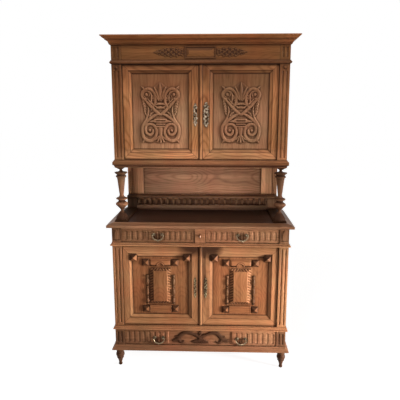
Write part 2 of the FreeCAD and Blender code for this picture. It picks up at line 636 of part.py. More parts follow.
def door(name, bay, front, z0, z1, side, outer, inner, low, high, bored):
    # One mitred door and its panel; the right one carries the meeting strip.
    z0 += DOOR_GAP
    z1 -= DOOR_GAP
    meet = MEETING_OFFSET + side * DOOR_GAP / 2
    hinge = side * (bay - DOOR_GAP)
    if side < 0:
        x0, x1, left, right = hinge, meet, outer, inner
    else:
        x0, x1, left, right = meet + MEETING_STRIP, hinge, inner, outer
    panel = box(x0 + left - PANEL_TONGUE, x1 - right + PANEL_TONGUE, front + PANEL_RECESS,
                front + PANEL_RECESS + PANEL_THICKNESS, z0 + low - PANEL_TONGUE, z1 - high + PANEL_TONGUE)
    frame = framed(x0, x1, z0, z1, front, left, right, low, high, panel)
    frame = [piece for member in frame for piece in member.cut(bored).Solids]
    if side > 0:
        mid = meet + MEETING_STRIP / 2
        nosed = [(meet, front + DOOR_THICKNESS), (meet, front - 1.0),
                 (mid, front - STRIP_RISE, x0, front - 1.0), (x0, front + DOOR_THICKNESS)]
        frame.append(prism(nosed, lambda x, y: V(x, y, z0), V(0, 0, z1 - z0)))
    save(name + "_door_frame", frame)
    return panel, (x0 + left, x1 - right, z0 + low, z1 - high), front + PANEL_RECESS


bored = PIN_RADIUS + PIN_CLEARANCE
deep = PIN_REACH + PIN_END_CLEARANCE
upper_bores = pins(UPPER_BAY, UPPER_DOOR_FACE, Z_UPPER_DOOR, Z_ARCHITRAVE, bored, deep)
lower_bores = pins(LOWER_BAY, LOWER_DOOR_FACE, Z_LOWER_DOOR, Z_DRAWER_RAIL, bored, deep)


def arc_band(x, z, radius, width, start, end, base, rise):
    # A flat curved band: the ring sector from one angle to another, standing on the panel.
    def at(r, deg):
        return (x + r * math.cos(math.radians(deg)), z + r * math.sin(math.radians(deg)))

    mid = (start + end) / 2
    ring = [at(radius, start), at(radius, mid) + at(radius, end), at(radius - width, end),
            at(radius - width, mid) + at(radius - width, start)]
    return prism(ring, lambda a, b: V(a, base, b), V(0, -rise, 0))


def relief(field, base):
    # Carved scrollwork: volutes with eyes above and below, S-bands, a vase, a palmette and a shell.
    cx = (field[0] + field[1]) / 2
    cz = (field[2] + field[3]) / 2
    w = CARVING_WIDTH / 2
    h = CARVING_HEIGHT / 2
    rise = CARVING_RISE
    swag = arc_band(cx, cz + h * 0.42, w * 0.38, CARVING_BAND, 200.0, 340.0, base, rise)
    half = []
    for x, z, r, start, end in ((0.6, 0.53, 0.37, 200.0, -30.0), (0.66, 0.55, 0.24, -30.0, -190.0),
                                (0.84, -0.04, 0.53, 98.0, 182.0), (0.62, -0.68, 0.41, 50.0, -215.0),
                                (0.59, -0.66, 0.26, 145.0, -60.0)):
        half.append(arc_band(cx + w * x, cz + h * z, w * r, CARVING_BAND, start, end, base, rise))
    for x, z in ((0.71, 0.57), (0.57, -0.65)):
        half.append(Part.makeCylinder(w * 0.09, rise, V(cx + w * x, base, cz + h * z), V(0, -1, 0)))
    for x0, z0, x1, z1, wide in ((0.26, -0.09, 0.96, -0.5, 0.16), (0.66, 0.16, 0.92, -0.36, 0.16),
                                 (0.76, -0.84, 0.98, -1.0, 0.12), (0.82, 0.66, 0.98, 0.86, 0.12),
                                 (0.04, 0.44, 0.28, 0.8, 0.14), (0.06, -0.78, 0.3, -0.94, 0.12)):
        half.append(lens(cx + w * x0, cz + h * z0, cx + w * x1, cz + h * z1, w * wide, base, rise))
    ends = ((0.4, 1.0), (-0.74, -1.0))
    middle = [lens(cx, cz + h * a, cx, cz + h * b, w * 0.2, base, rise) for a, b in ends]
    profile = [(0.1, -0.8), (0.2, -0.64, 0.13, -0.53), (0.22, -0.52), (0.22, -0.48), (0.15, -0.46),
               (0.23, -0.42), (0.23, -0.37), (0.16, -0.34), (0.33, -0.3), (0.33, -0.24), (0.15, -0.18),
               (0.1, 0.18)]
    vase = lathe(profile, 0.0, 0.0, 180.0)
    stretch = FreeCAD.Matrix()
    stretch.scale(w, -rise / max(step[-2] for step in profile), h)
    vase = vase.transformGeometry(stretch)
    vase.translate(V(cx, base, cz))
    return half + [s.mirror(V(cx, 0, 0), V(1, 0, 0)) for s in half] + middle + [swag, vase]


for name, side in (("upper_left", -1), ("upper_right", 1)):
    panel, field, base = door(name, UPPER_BAY, UPPER_DOOR_FACE, Z_UPPER_DOOR, Z_ARCHITRAVE, side,
                              UPPER_OUTER_STILE, UPPER_INNER_STILE, UPPER_DOOR_BOTTOM, UPPER_DOOR_TOP,
                              upper_bores)
    save(name + "_door_panel", fused([panel] + relief(field, base)))


def arched(cx, z, half, height, base, rise):
    outline = [(cx - half, z), (cx + half, z), (cx, z + height, cx - half, z)]
    return prism(outline, lambda a, b: V(a, base, b), V(0, -rise, 0))


def ornament(field, base):
    # Diamond points in the upper corners; studs, bars and split spindles round a raised field.
    cx = (field[0] + field[1]) / 2
    low = field[2] + CARTOUCHE_LOW
    high = field[3] - CARTOUCHE_TOP
    stud = CARTOUCHE_STUD / 2
    corner = CORNER_STUD / 2
    border_low = low + stud + LEAF_GAP
    border_high = high - stud - LEAF_GAP
    split_x = LEAF_HALF + SPLIT_RADIUS
    split_high = border_high - SPLIT_TOP_GAP
    thin = SPLIT_RADIUS * 0.45
    r = SPLIT_RADIUS
    turned = [(thin, border_low), (r, border_low + r, thin, border_low + 3 * r),
              (r, (border_low + split_high) / 2, thin, split_high - 3 * r),
              (r, split_high - r, thin, split_high)]
    pieces = []
    for flip in (-1, 1):
        x = cx + flip * ((field[1] - field[0]) / 2 - CORNER_STUD_X)
        z = field[3] - CORNER_STUD_Z
        front = base - PANEL_RECESS
        foot = box(max(x - corner, field[0]), min(x + corner, field[1]), front, base, z - corner, field[3])
        point = frustum(x, z, corner, corner, 1.0, 1.0, front, STUD_RISE)
        pieces += fused([foot, point])
        for z in (low, high):
            pieces.append(frustum(cx + flip * CARTOUCHE_X, z, stud, stud, 1.0, 1.0, base, STUD_RISE))
        half = lathe(turned, cx + flip * split_x, base, 180.0)
        half.rotate(V(cx + flip * split_x, base, 0), V(0, 0, 1), 180)
        pieces.append(half)
    tall = (border_high - border_low) / 2
    pieces.append(frustum(cx, border_low + tall, LEAF_HALF, tall, LEAF_HALF - LEAF_SIDE, tall - LEAF_END,
                          base, FIELD_RISE))
    bar = CARTOUCHE_X - stud
    face_y = base - CARTOUCHE_RISE
    pieces.append(box(cx - bar, cx + bar, face_y, base, low - stud, low + stud))
    lintel = box(cx - bar, cx + bar, face_y, base, high - stud, high + stud)
    pieces += lintel.cut(arched(cx, high - stud, ARCH_HALF, ARCH_HEIGHT, base, CARTOUCHE_RISE)).Solids
    pieces.append(arched(cx, high - stud, ARCH_HALF - ARCH_BAND, ARCH_HEIGHT - ARCH_BAND, base, SHELL_RISE))
    return pieces


for name, side in (("lower_left", -1), ("lower_right", 1)):
    panel, field, base = door(name, LOWER_BAY, LOWER_DOOR_FACE, Z_LOWER_DOOR, Z_DRAWER_RAIL, side,
                              LOWER_OUTER_STILE, LOWER_INNER_STILE, LOWER_DOOR_BOTTOM, LOWER_DOOR_TOP,
                              lower_bores)
    save(name + "_door_panel", [panel])
    save(name + "_door_ornament", ornament(field, base))


def plate(x, z, front, length, width):
    # Pierced key plate: lobes shrinking towards both tips on a slim spine, with a keyhole.
    thick = PLATE_THICKNESS

    def disc(radius, rise):
        return Part.makeCylinder(radius, 3 * thick, V(x, front + thick, z + rise), V(0, -1, 0))

    slim = width * 0.12
    spine = box(x - slim, x + slim, front - thick, front, z - length * 0.48, z + length * 0.48)
    sheet = box(x - width, x + width, front - thick, front, z - length, z + length)
    lobes = [disc(width * size, flip * at * length) for flip in (-1, 1)
             for at, size in ((0.0, 0.5), (0.24, 0.36), (0.4, 0.26), (0.46, 0.14))]
    body = spine.fuse([lobe.common(sheet) for lobe in lobes]).removeSplitter()
    slot = box(x - width * 0.05, x + width * 0.05, front - 2 * thick, front + thick, z - width * 0.3, z)
    eyes = [disc(width * 0.14, flip * 0.24 * length) for flip in (-1, 1)]
    return body.cut([disc(width * 0.12, width * 0.1), slot] + eyes).Solids


for row, front, z, length, width, inner in (
        ("upper", UPPER_DOOR_FACE, Z_UPPER_DOOR + UPPER_KEY_RISE, UPPER_PLATE_LENGTH, UPPER_PLATE_WIDTH,
         UPPER_INNER_STILE),
        ("lower", LOWER_DOOR_FACE, Z_LOWER_DOOR + LOWER_KEY_RISE, LOWER_PLATE_LENGTH, LOWER_PLATE_WIDTH,
         LOWER_INNER_STILE)):
    flat = inner * (1 - MOULD_SHARE) / 2
    left_x = MEETING_OFFSET - DOOR_GAP / 2 - flat
    right_x = MEETING_OFFSET + DOOR_GAP / 2 + MEETING_STRIP + flat
    save(row + "_left_escutcheon", plate(left_x, z, front, length, width))
    save(row + "_right_escutcheon", plate(right_x, z, front, length, width))
    back = front + DOOR_THICKNESS
    lock_x = MEETING_OFFSET + DOOR_GAP / 2 + MEETING_STRIP / 2
    bolt_x = MEETING_OFFSET + DOOR_GAP / 2 + BOLT_EDGE
    bolt_y = back + (LOCK_DEPTH - BOLT_THICKNESS) / 2
    bolt_z = z - BOLT_HEIGHT / 2
    bolt = box(bolt_x, bolt_x + BOLT_LENGTH, bolt_y, bolt_y + BOLT_THICKNESS, bolt_z, bolt_z + BOLT_HEIGHT)
    gap = BOLT_CLEARANCE
    channel = box(bolt_x - gap, bolt_x + BOLT_LENGTH + gap, bolt_y - gap, bolt_y + BOLT_THICKNESS + gap,
                  bolt_z - gap, bolt_z + BOLT_HEIGHT + gap)
    case = box(lock_x, lock_x + LOCK_WIDTH, back, back + LOCK_DEPTH, z - LOCK_HEIGHT / 2, z + LOCK_HEIGHT / 2)
    save(row + "_lock", case.cut(channel).Solids)
    save(row + "_lock_bolt", [bolt])


def drawer_box(x0, x1, z0, z1):
    # Sides, back and bottom behind the drawer front.
    y0 = DRAWER_FACE + DRAWER_FRONT
    y1 = y0 + DRAWER_LENGTH
    wall = DRAWER_WALL
    top = z1 - DRAWER_HEADROOM
    return [
        box(x0, x0 + wall, y0, y1, z0, top),
        box(x1 - wall, x1, y0, y1, z0, top),
        box(x0 + wall, x1 - wall, y1 - wall, y1, z0 + DRAWER_BOTTOM, top),
        box(x0 + wall, x1 - wall, y0, y1, z0, z0 + DRAWER_BOTTOM),
    ]


def pull(x, z):
    # Two rosettes on studs through the front, and the bail whose pins turn in the studs' eyes.
    y = DRAWER_FACE - PULL_REACH
    mounts = []
    half = PULL_SPREAD / 2
    for flip in (-1, 1):
        at = V(x + flip * half, DRAWER_FACE, z)
        rosette = Part.makeCone(ROSETTE_RADIUS, ROSETTE_RADIUS * 0.6, ROSETTE_THICKNESS, at, V(0, -1, 0))
        through = at + V(0, DRAWER_FRONT, 0)
        stud = Part.makeCylinder(STUD_RADIUS, PULL_REACH + DRAWER_FRONT, through, V(0, -1, 0))
        eye = Part.makeSphere(EYE_RADIUS, V(at.x, y, z))
        start = V(at.x - 2 * EYE_RADIUS, y, z)
        bore = Part.makeCylinder(BAIL_PIN + BAIL_CLEARANCE, 4 * EYE_RADIUS, start, V(1, 0, 0))
        mounts += rosette.fuse([stud, eye]).cut(bore).Solids
    ring = Part.makeTorus(BAIL_RADIUS, BAIL_ROD, V(0, 0, 0), V(0, 0, 1), -180, 180, 180)
    ring.rotate(V(0, 0, 0), V(1, 0, 0), -90)
    ring.translate(V(x, y, z))
    ends = []
    for flip in (-1, 1):
        knuckle = Part.makeSphere(BAIL_KNUCKLE, V(x + flip * BAIL_RADIUS, y, z))
        length = BAIL_RADIUS - half + EYE_RADIUS
        start = x + flip * BAIL_RADIUS
        ends += [knuckle, Part.makeCylinder(BAIL_PIN, length, V(start, y, z), V(-flip, 0, 0))]
    return mounts, ring.fuse(ends).removeSplitter().Solids


def drawer(name, x0, x1, z0, z1, pull_x, pull_z, fields, cuts, carving):
    # A fluted front, its box, the pull mounts and the bails.
    x0 += DOOR_GAP
    x1 -= DOOR_GAP
    z0 += DOOR_GAP
    z1 -= DOOR_GAP
    mounts = []
    bails = []
    for x in pull_x:
        fixed, swing = pull(x, pull_z)
        mounts += fixed
        bails.append(swing)
    flute_low = z0 + FLUTE_MARGIN
    flute_high = z1 - FLUTE_MARGIN
    for a, b in fields:
        n = int((b - a) / FLUTE_PITCH)
        for i in range(n):
            x = (a + b) / 2 + (i - (n - 1) / 2) * FLUTE_PITCH
            cuts.append(groove(x, DRAWER_FACE, flute_low, flute_high, FLUTE_WIDTH, FLUTE_DEPTH))
    front = box(x0, x1, DRAWER_FACE, DRAWER_FACE + DRAWER_FRONT, z0, z1)
    save(name + "_drawer_front", front.cut(cuts + mounts).Solids + carving)
    save(name + "_drawer_box", drawer_box(x0, x1, z0, z1))
    save(name + "_drawer_pull_mounts", mounts)
    return bails


for name, a, b, x in (("left", -LOWER_BAY, -muntin, -PULL_X), ("right", muntin, LOWER_BAY, PULL_X)):
    bails = drawer(name, a, b, Z_DRAWER, Z_TOP_RAIL, [x], PULL_Z, [(a, b)], [], [])
    save(name + "_bail", bails[0])

# Base drawer: fluted ends and a sunk middle with a carved garland
sunk = DRAWER_FACE + BASE_RECESS_DEPTH
base_low = Z_BASE_DRAWER + FLUTE_MARGIN
recess = box(-BASE_RECESS_HALF, BASE_RECESS_HALF, DRAWER_FACE - 1.0, sunk,
             Z_BASE_DRAWER + FLUTE_MARGIN / 2, Z_BASE_RAIL - FLUTE_MARGIN / 2)
rise = BASE_RECESS_DEPTH
arm = arc_band(GARLAND_X, base_low, GARLAND_RADIUS, GARLAND_BAND, 5.0, 170.0, sunk, rise)
leaf_x = GARLAND_X + GARLAND_LEAF_WIDTH / 2
leaf_z = base_low + GARLAND_LEAF_WIDTH / 2
tuft = lens(leaf_x, leaf_z, leaf_x + GARLAND_LEAF, leaf_z, GARLAND_LEAF_WIDTH, sunk, rise)
fleur = [lens(0.0, base_low, dx, base_low + FLEUR_HEIGHT * tall, FLEUR_WIDTH / 2, sunk, rise)
         for dx, tall in ((0.0, 1.0), (-FLEUR_WIDTH / 2, 0.7), (FLEUR_WIDTH / 2, 0.7))]
garland = fused(mirrored([arm, tuft]) + fleur)
fluted = [(-LOWER_BAY, -BASE_RECESS_HALF), (BASE_RECESS_HALF, LOWER_BAY)]
bails = drawer("base", -LOWER_BAY, LOWER_BAY, Z_BASE_DRAWER, Z_BASE_RAIL, [-BASE_PULL_X, BASE_PULL_X],
               BASE_PULL_Z, fluted, [recess], garland)
save("base_left_bail", bails[0])
save("base_right_bail", bails[1])
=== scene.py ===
from functools import partial
import math
from types import SimpleNamespace as Look

import bmesh
import bpy
import numpy as np
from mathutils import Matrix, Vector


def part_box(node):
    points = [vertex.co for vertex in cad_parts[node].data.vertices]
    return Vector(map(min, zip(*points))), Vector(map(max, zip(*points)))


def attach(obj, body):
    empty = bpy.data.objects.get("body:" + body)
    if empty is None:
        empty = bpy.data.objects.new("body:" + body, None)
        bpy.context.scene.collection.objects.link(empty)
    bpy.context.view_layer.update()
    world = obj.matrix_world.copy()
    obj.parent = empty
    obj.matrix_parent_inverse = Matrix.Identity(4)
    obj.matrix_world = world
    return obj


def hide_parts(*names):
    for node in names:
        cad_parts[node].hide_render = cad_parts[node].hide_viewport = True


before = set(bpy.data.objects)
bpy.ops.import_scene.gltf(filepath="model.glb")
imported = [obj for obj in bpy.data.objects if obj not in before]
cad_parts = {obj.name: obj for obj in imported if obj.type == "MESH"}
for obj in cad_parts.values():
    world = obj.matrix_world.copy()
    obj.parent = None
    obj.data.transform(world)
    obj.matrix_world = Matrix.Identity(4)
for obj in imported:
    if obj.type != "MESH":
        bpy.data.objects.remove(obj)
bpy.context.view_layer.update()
print("frame loaded,", len(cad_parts), "nodes")

mm = 0.001
both = (-1, 1)                                  # the two mirrored sides


# meshes

def gridFaces(rows, cols, closeRows=False, closeCols=False):
    # four-cornered faces between neighbours of a rows by cols grid, wrapped round where it closes
    r = np.arange(rows if closeRows else rows - 1)[:, None]
    c = np.arange(cols if closeCols else cols - 1)[None, :]
    r2, c2 = (r + 1) % rows, (c + 1) % cols
    return np.stack([r * cols + c, r * cols + c2, r2 * cols + c2, r2 * cols + c], -1).reshape(-1, 4)


def fanFaces(loop, hub):
    # triangles from each step of a closed loop of point numbers to one hub
    return np.stack([loop, np.roll(loop, -1), np.full(len(loop), hub)], -1)


def layMesh(name, patches, sharp=40.0, grime=None, domain="POINT"):
    # joins patches of points and faces, closes their seams, turns the faces outwards
    points, corners, sizes, offset = [], [], [], 0
    for p, *faceSets in patches:
        points.append(np.asarray(p, float).reshape(-1, 3))
        for f in faceSets:
            corners.append((f + offset).ravel())
            sizes.append(np.full(len(f), f.shape[1]))
        offset += len(points[-1])
    points, corners, sizes = np.concatenate(points), np.concatenate(corners), np.concatenate(sizes)
    mesh = bpy.data.meshes.new(name)
    mesh.vertices.add(len(points))
    mesh.vertices.foreach_set("co", points.ravel())
    mesh.loops.add(len(corners))
    mesh.polygons.add(len(sizes))
    mesh.polygons.foreach_set("loop_start", np.concatenate([[0], np.cumsum(sizes)[:-1]]))
    mesh.polygons.foreach_set("vertices", corners)
    mesh.update(calc_edges=True)
    # the finish's value of soiling, painted shade and painted highlight, one on each point or each face
    if grime is not None:
        layer = mesh.attributes.new("grime", "FLOAT", domain)
        layer.data.foreach_set("value", np.asarray(grime, np.float32))
    work = bmesh.new()
    work.from_mesh(mesh)
    bmesh.ops.remove_doubles(work, verts=work.verts, dist=2e-6)
    bmesh.ops.recalc_face_normals(work, faces=work.faces)
    work.to_mesh(mesh)
    work.free()
    mesh.shade_smooth()
    mesh.set_sharp_from_angle(angle=math.radians(sharp))
    return mesh


def addObject(name, data):
    obj = bpy.data.objects.new(name, data)
    bpy.context.scene.collection.objects.link(obj)
    return obj


def piece(name, patches, body, finish, *nodes, slot="oak", **shading):
    # a visible piece on its body, in place of the nodes named
    obj = addObject(name, layMesh(name, patches, **shading))
    obj.data.materials.append(finishes[finish])
    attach(obj, body)
    if nodes:
        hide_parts(*nodes)


def unit(v):
    return np.clip(v, 0, 1)


def dome(v):
    # half circle over -1 to 1
    return np.sqrt(unit(1 - v ** 2))


def hump(v):
    return np.exp(-v ** 2)


def metres(rows):
    return [tuple(v * mm for v in row) for row in rows]


def evenly(start, stop, step):
    # points from start to stop about one step apart; the tolerance keeps a whole number of steps whole
    return np.linspace(start, stop, int((stop - start) / step + 1e-6))


def smoothPath(points, step=0.0012):
    # Catmull-Rom curve through the points, even steps of about the given length
    p = np.asarray(points, float)
    ends = np.vstack([2 * p[0] - p[1], p, 2 * p[-1] - p[-2]])
    a, b, c, d = ends[:-3, None], ends[1:-2, None], ends[2:-1, None], ends[3:, None]
    u = np.linspace(0, 1, 24, endpoint=False)[None, :, None]
    cubic = (2 * a - 5 * b + 4 * c - d) * u ** 2 + (3 * b - a - 3 * c + d) * u ** 3
    curve = 0.5 * (2 * b + (c - a) * u + cubic)
    curve = np.vstack([curve.reshape(-1, p.shape[1]), p[-1:]])
    run = np.concatenate([[0], np.cumsum(np.linalg.norm(np.diff(curve, axis=0), axis=1))])
    even = np.linspace(0, run[-1], max(8, int(run[-1] / step)))
    return np.stack([np.interp(even, run, curve[:, k]) for k in range(p.shape[1])], -1)


def softly(field, cells):
    # Gaussian blur of a height field through its spectrum, edges carried outwards first
    pad = int(cells * 3) + 2
    wide = np.pad(field, pad, mode="edge")
    fz = np.fft.fftfreq(wide.shape[0])[:, None]
    fx = np.fft.rfftfreq(wide.shape[1])[None, :]
    bell = np.exp(-2 * (math.pi * cells) ** 2 * (fz ** 2 + fx ** 2))
    return np.fft.irfft2(np.fft.rfft2(wide) * bell, wide.shape)[pad:-pad, pad:-pad]


def unevenness(shape, cells, seed, size):
    # smooth seeded noise of about the given size, one bump for each so many cells
    return softly(np.random.default_rng(seed).standard_normal(shape), cells) * cells * 3.5 * size


def cavities(height, cells, depth):
    # how far each point lies under its soft surroundings, 1 in hollows to -1 on ridges
    return np.clip((softly(height, cells) - height) / depth, -1, 1)


def strand(height, gx, gz, points, widths, rise, cut, lobes):
    # raises a band along a path: distance to the path over the half width there sets the cross section
    path = smoothPath(points)
    t = np.linspace(0, 1, len(path))
    half = np.interp(t, np.linspace(0, 1, len(widths)), widths)
    reach = half.max() * 1.15
    lo, hi = path.min(0) - reach, path.max(0) + reach
    near = np.nonzero((gx >= lo[0]) & (gx <= hi[0]) & (gz >= lo[1]) & (gz <= hi[1]))
    px, pz = gx[near], gz[near]
    gap = (px[:, None] - path[None, :, 0]) ** 2 + (pz[:, None] - path[None, :, 1]) ** 2
    best = gap.argmin(1)
    q = np.sqrt(gap[np.arange(len(best)), best]) / np.maximum(half[best], 1e-5)
    if cut == "round":
        body = dome(q)
    elif cut == "full":                         # low crown, steep sides
        body = np.sqrt(unit(1 - q ** 4)) * (0.86 + 0.14 * unit(1 - q ** 2))
    elif cut == "plate":                        # flat top, sloping edges
        body = unit((1 - q) * 2.5)
    else:                                       # leaf: lobed edges, oblique veins, a rib
        along = np.gradient(path, axis=0)[best]
        side = np.sign(along[:, 0] * (pz - path[best, 1]) - along[:, 1] * (px - path[best, 0]))
        lobe = np.sin(math.pi * ((t[best] * lobes - q * 0.55) % 1.0)) ** 0.7
        q = q / (0.68 + 0.32 * lobe)
        body = unit(1 - q ** 2.4) ** 0.6 * (0.62 + 0.38 * lobe)
        body = body * (1 - 0.35 * hump(q / 0.12)) * (1 + 0.08 * side)
    height[near] = np.maximum(height[near], np.where(q < 1, rise * body, 0))


def carve(height, gx, gz, strands, rise, spread=1.0):
    # rows of cut, lobes, half widths and points in millimetres; the widths may be spread
    for cut, lobes, widths, points in strands:
        strand(height, gx, gz, np.array(points) * mm, np.array(widths) * spread * mm, rise, cut, lobes)


def reliefSheet(x, z, front, back, grime):
    # height field as the front, its border carried straight back, a fan closing the rear
    nz, nx = front.shape
    gx, gz = np.meshgrid(x, z)
    face = np.stack([gx, front, gz], -1).reshape(-1, 3)
    number = np.arange(nz * nx).reshape(nz, nx)
    loop = np.concatenate([number[0, :-1], number[:-1, -1], number[-1, :0:-1], number[:0:-1, 0]])
    rim = face[loop].copy()
    rim[:, 1] = back
    hub = np.array([[(x[0] + x[-1]) / 2, back, (z[0] + z[-1]) / 2]])
    count, n = nz * nx, len(loop)
    rear = count + np.arange(n)
    wall = np.stack([loop, np.roll(loop, -1), np.roll(rear, -1), rear], -1)
    patch = (np.vstack([face, rim, hub]), gridFaces(nz, nx), wall, fanFaces(rear, count + n))
    return patch, np.concatenate([grime.ravel(), np.zeros(n + 1)])


def smoothProfile(profile):
    # rows of (radius, height) are corners; rows of four are arcs through the first pair to the second
    out = [np.array([profile[0]], float)]
    for row in profile[1:]:
        start, stop = out[-1][-1], np.array(row[-2:], float)
        if len(row) == 2:
            out.append(stop[None])
            continue
        u = np.linspace(0, 1, 9)[1:, None]
        bend = 2 * np.array(row[:2], float) - 0.5 * (start + stop)  # the parabola meets the middle point half way
        out.append((1 - u) ** 2 * start + 2 * u * (1 - u) * bend + u ** 2 * stop)
    return np.vstack(out)


def turned(profile, place, axis="z", count=64, span=(0.0, 2 * math.pi)):
    # carries a profile of (radius, height) round an axis; a part turn is closed flat at its back
    p = smoothProfile(profile)
    full = abs(span[1] - span[0]) > 6.28
    a = np.linspace(span[0], span[1], count, endpoint=not full)
    r, h = p[:, 0][:, None], p[:, 1][:, None]
    u, v, w = r * np.cos(a), r * np.sin(a), np.broadcast_to(h, (len(p), count))
    shape = {"z": (u, v, w), "y": (u, -w, v)}[axis]
    faces = [gridFaces(len(p), count, closeCols=full)]
    if not full:                                # flat back: each level's two ends joined across the axis
        first = np.arange(len(p)) * count
        last = first + count - 1
        faces.append(np.stack([first[:-1], first[1:], last[1:], last[:-1]], -1))
    return (np.stack(shape, -1).reshape(-1, 3) + np.asarray(place), *faces)


def rod(path, radii, count=20):
    # carries a circle of changing radius along a path, ends closed by fans
    along = np.gradient(path, axis=0)
    along /= np.linalg.norm(along, axis=1)[:, None]
    one = np.cross(along, [0.0, 1.0, 0.0])
    one /= np.linalg.norm(one, axis=1)[:, None]
    two = np.cross(along, one)
    a = np.linspace(0, 2 * math.pi, count, endpoint=False)[None, :, None]
    ring = path[:, None] + np.asarray(radii)[:, None, None] * (np.cos(a) * one[:, None] + np.sin(a) * two[:, None])
    n, first = len(path), np.arange(count)
    points = np.vstack([ring.reshape(-1, 3), path[:1], path[-1:]])
    return (points, gridFaces(n, count, closeCols=True), fanFaces(first, n * count),
            fanFaces(first + (n - 1) * count, n * count + 1))


def steppedBlock(x, z, halfX, halfZ, base, steps):
    # rectangular rings of (inset, rise) in millimetres, stacked towards the front, the last one closed
    inset, rise = np.array(steps, float).T * mm
    hx, hz = np.maximum(halfX - inset, 1e-6), np.maximum(halfZ - inset, 1e-6)
    sx, sz = np.array([-1, 1, 1, -1]), np.array([-1, -1, 1, 1])
    n = len(steps)
    ring = np.stack([x + hx[:, None] * sx, np.broadcast_to((base - rise)[:, None], (n, 4)), z + hz[:, None] * sz], -1)
    caps = np.array([[0, 1, 2, 3], [4 * n - 4, 4 * n - 3, 4 * n - 2, 4 * n - 1]])
    return ring.reshape(-1, 3), gridFaces(n, 4, closeCols=True), caps


def facetShadeList(rows):
    # painted shade: one value for each facet of a stepped block, none on its two caps
    return [*np.ravel(rows), 0, 0]


# finishes

def nodeMaker(tree):
    # short hands that add a node, or a sum of two or three values, to one tree and give its output
    def add(kind, wires=(), out=0, **fields):
        node = tree.nodes.new("ShaderNode" + kind)
        for key, value in fields.items():
            setattr(node, key, value)
        for key, value in dict(wires).items():
            if isinstance(value, bpy.types.NodeSocket):
                tree.links.new(value, node.inputs[key])
            else:
                node.inputs[key].default_value = value
        return node.outputs[out] if node.outputs else None

    def calc(kind, a, b=0.0, c=0.0):
        return add("Math", {0: a, 1: b, 2: c}, operation=kind)

    return add, calc


def blankMaterial(name):
    mat = bpy.data.materials.new(name)
    mat.use_nodes = True
    mat.node_tree.nodes.clear()
    return mat, *nodeMaker(mat.node_tree)


oakLook = Look(
    height=2.24,
    # height of each zone in metres with the tone it turns to; the tones hold painted light and shade: the upper body
    # darker towards the cornice, partly the wood's tone and partly painted shade, the cove under the upper base
    # moulding near black as painted shade, the upper doors' bottom rails pale as painted light
    zones=[(0.0, (0.27, 0.112, 0.053)), (0.174, (0.27, 0.112, 0.053)), (0.286, (0.35, 0.147, 0.066)),
           (0.32, (0.43, 0.18, 0.075)), (0.88, (0.465, 0.203, 0.088)), (0.93, (0.355, 0.156, 0.073)),
           (1.01, (0.33, 0.143, 0.066)), (1.05, (0.44, 0.199, 0.097)), (1.4, (0.39, 0.168, 0.08)),
           (1.425, (0.046, 0.012, 0.005)), (1.44, (0.18, 0.07, 0.028)), (1.464, (0.25, 0.101, 0.041)),
           (1.468, (0.54, 0.24, 0.104)), (1.52, (0.45, 0.194, 0.082)), (1.545, (0.37, 0.148, 0.056)),
           (1.9, (0.31, 0.12, 0.046)), (1.98, (0.205, 0.078, 0.029)), (2.064, (0.155, 0.058, 0.022)),
           (2.071, (0.125, 0.045, 0.018)), (2.09, (0.125, 0.045, 0.018)), (2.094, (0.165, 0.061, 0.02)),
           (2.184, (0.175, 0.063, 0.02)), (2.19, (0.38, 0.122, 0.04)), (2.24, (0.38, 0.122, 0.04))],
    # noise scale, detail and twist of the figure, the fibres and the pores, in space squeezed along the grain
    streaks=[(34.0, 3.0, 0.7), (190.0, 2.0, 0.2), (620.0, 1.0, 0.0)], squeeze=0.022,
    # noise scale and detail of the light and of the red patches; scale, detail and size of the rings' sway
    patches=[(3.1, 3.0), (7.0, 2.0)], sway=(22.0, 2.0, 0.016),
    # the heart of a board: noise scale along it, range and start of its depth in metres
    heart=(2.3, 0.16, -0.02),
    # share of each variation, the sweep being painted light that brightens towards the right; breadth of a board and
    # of a growth ring in metres
    figure=0.6, fibre=0.34, pores=0.55, drift=0.45, hue=0.16, sweep=0.0, flame=0.14, ring=0.011, board=0.085,
    # soiling and painted shade in corners within a reach and in the carving's hollows, soiling along a mitre; lighter
    # rubbed arrises, and ridges lighter by wear and painted highlight
    dirt=0.9, reach=0.017, soil=0.85, mitre=0.0019, mitreDirt=0.65, dirtMost=0.92, wear=0.35, arris=0.0022, ridge=0.45,
    # where each mask begins and is full
    poreEdge=(0.4, 0.3), cornerEdge=(0.08, 0.42), stainEdge=(0.15, 0.85), arrisEdge=(0.98, 0.8),
    poreTone=(0.05, 0.022, 0.01, 1.0), dirtTone=(0.04, 0.015, 0.007, 1.0), rubbedTone=(0.56, 0.31, 0.16, 1.0),
    rough=0.46, shine=0.1, bump=0.25, bumpDepth=0.0012, stains=(), lines=(), edge=None)


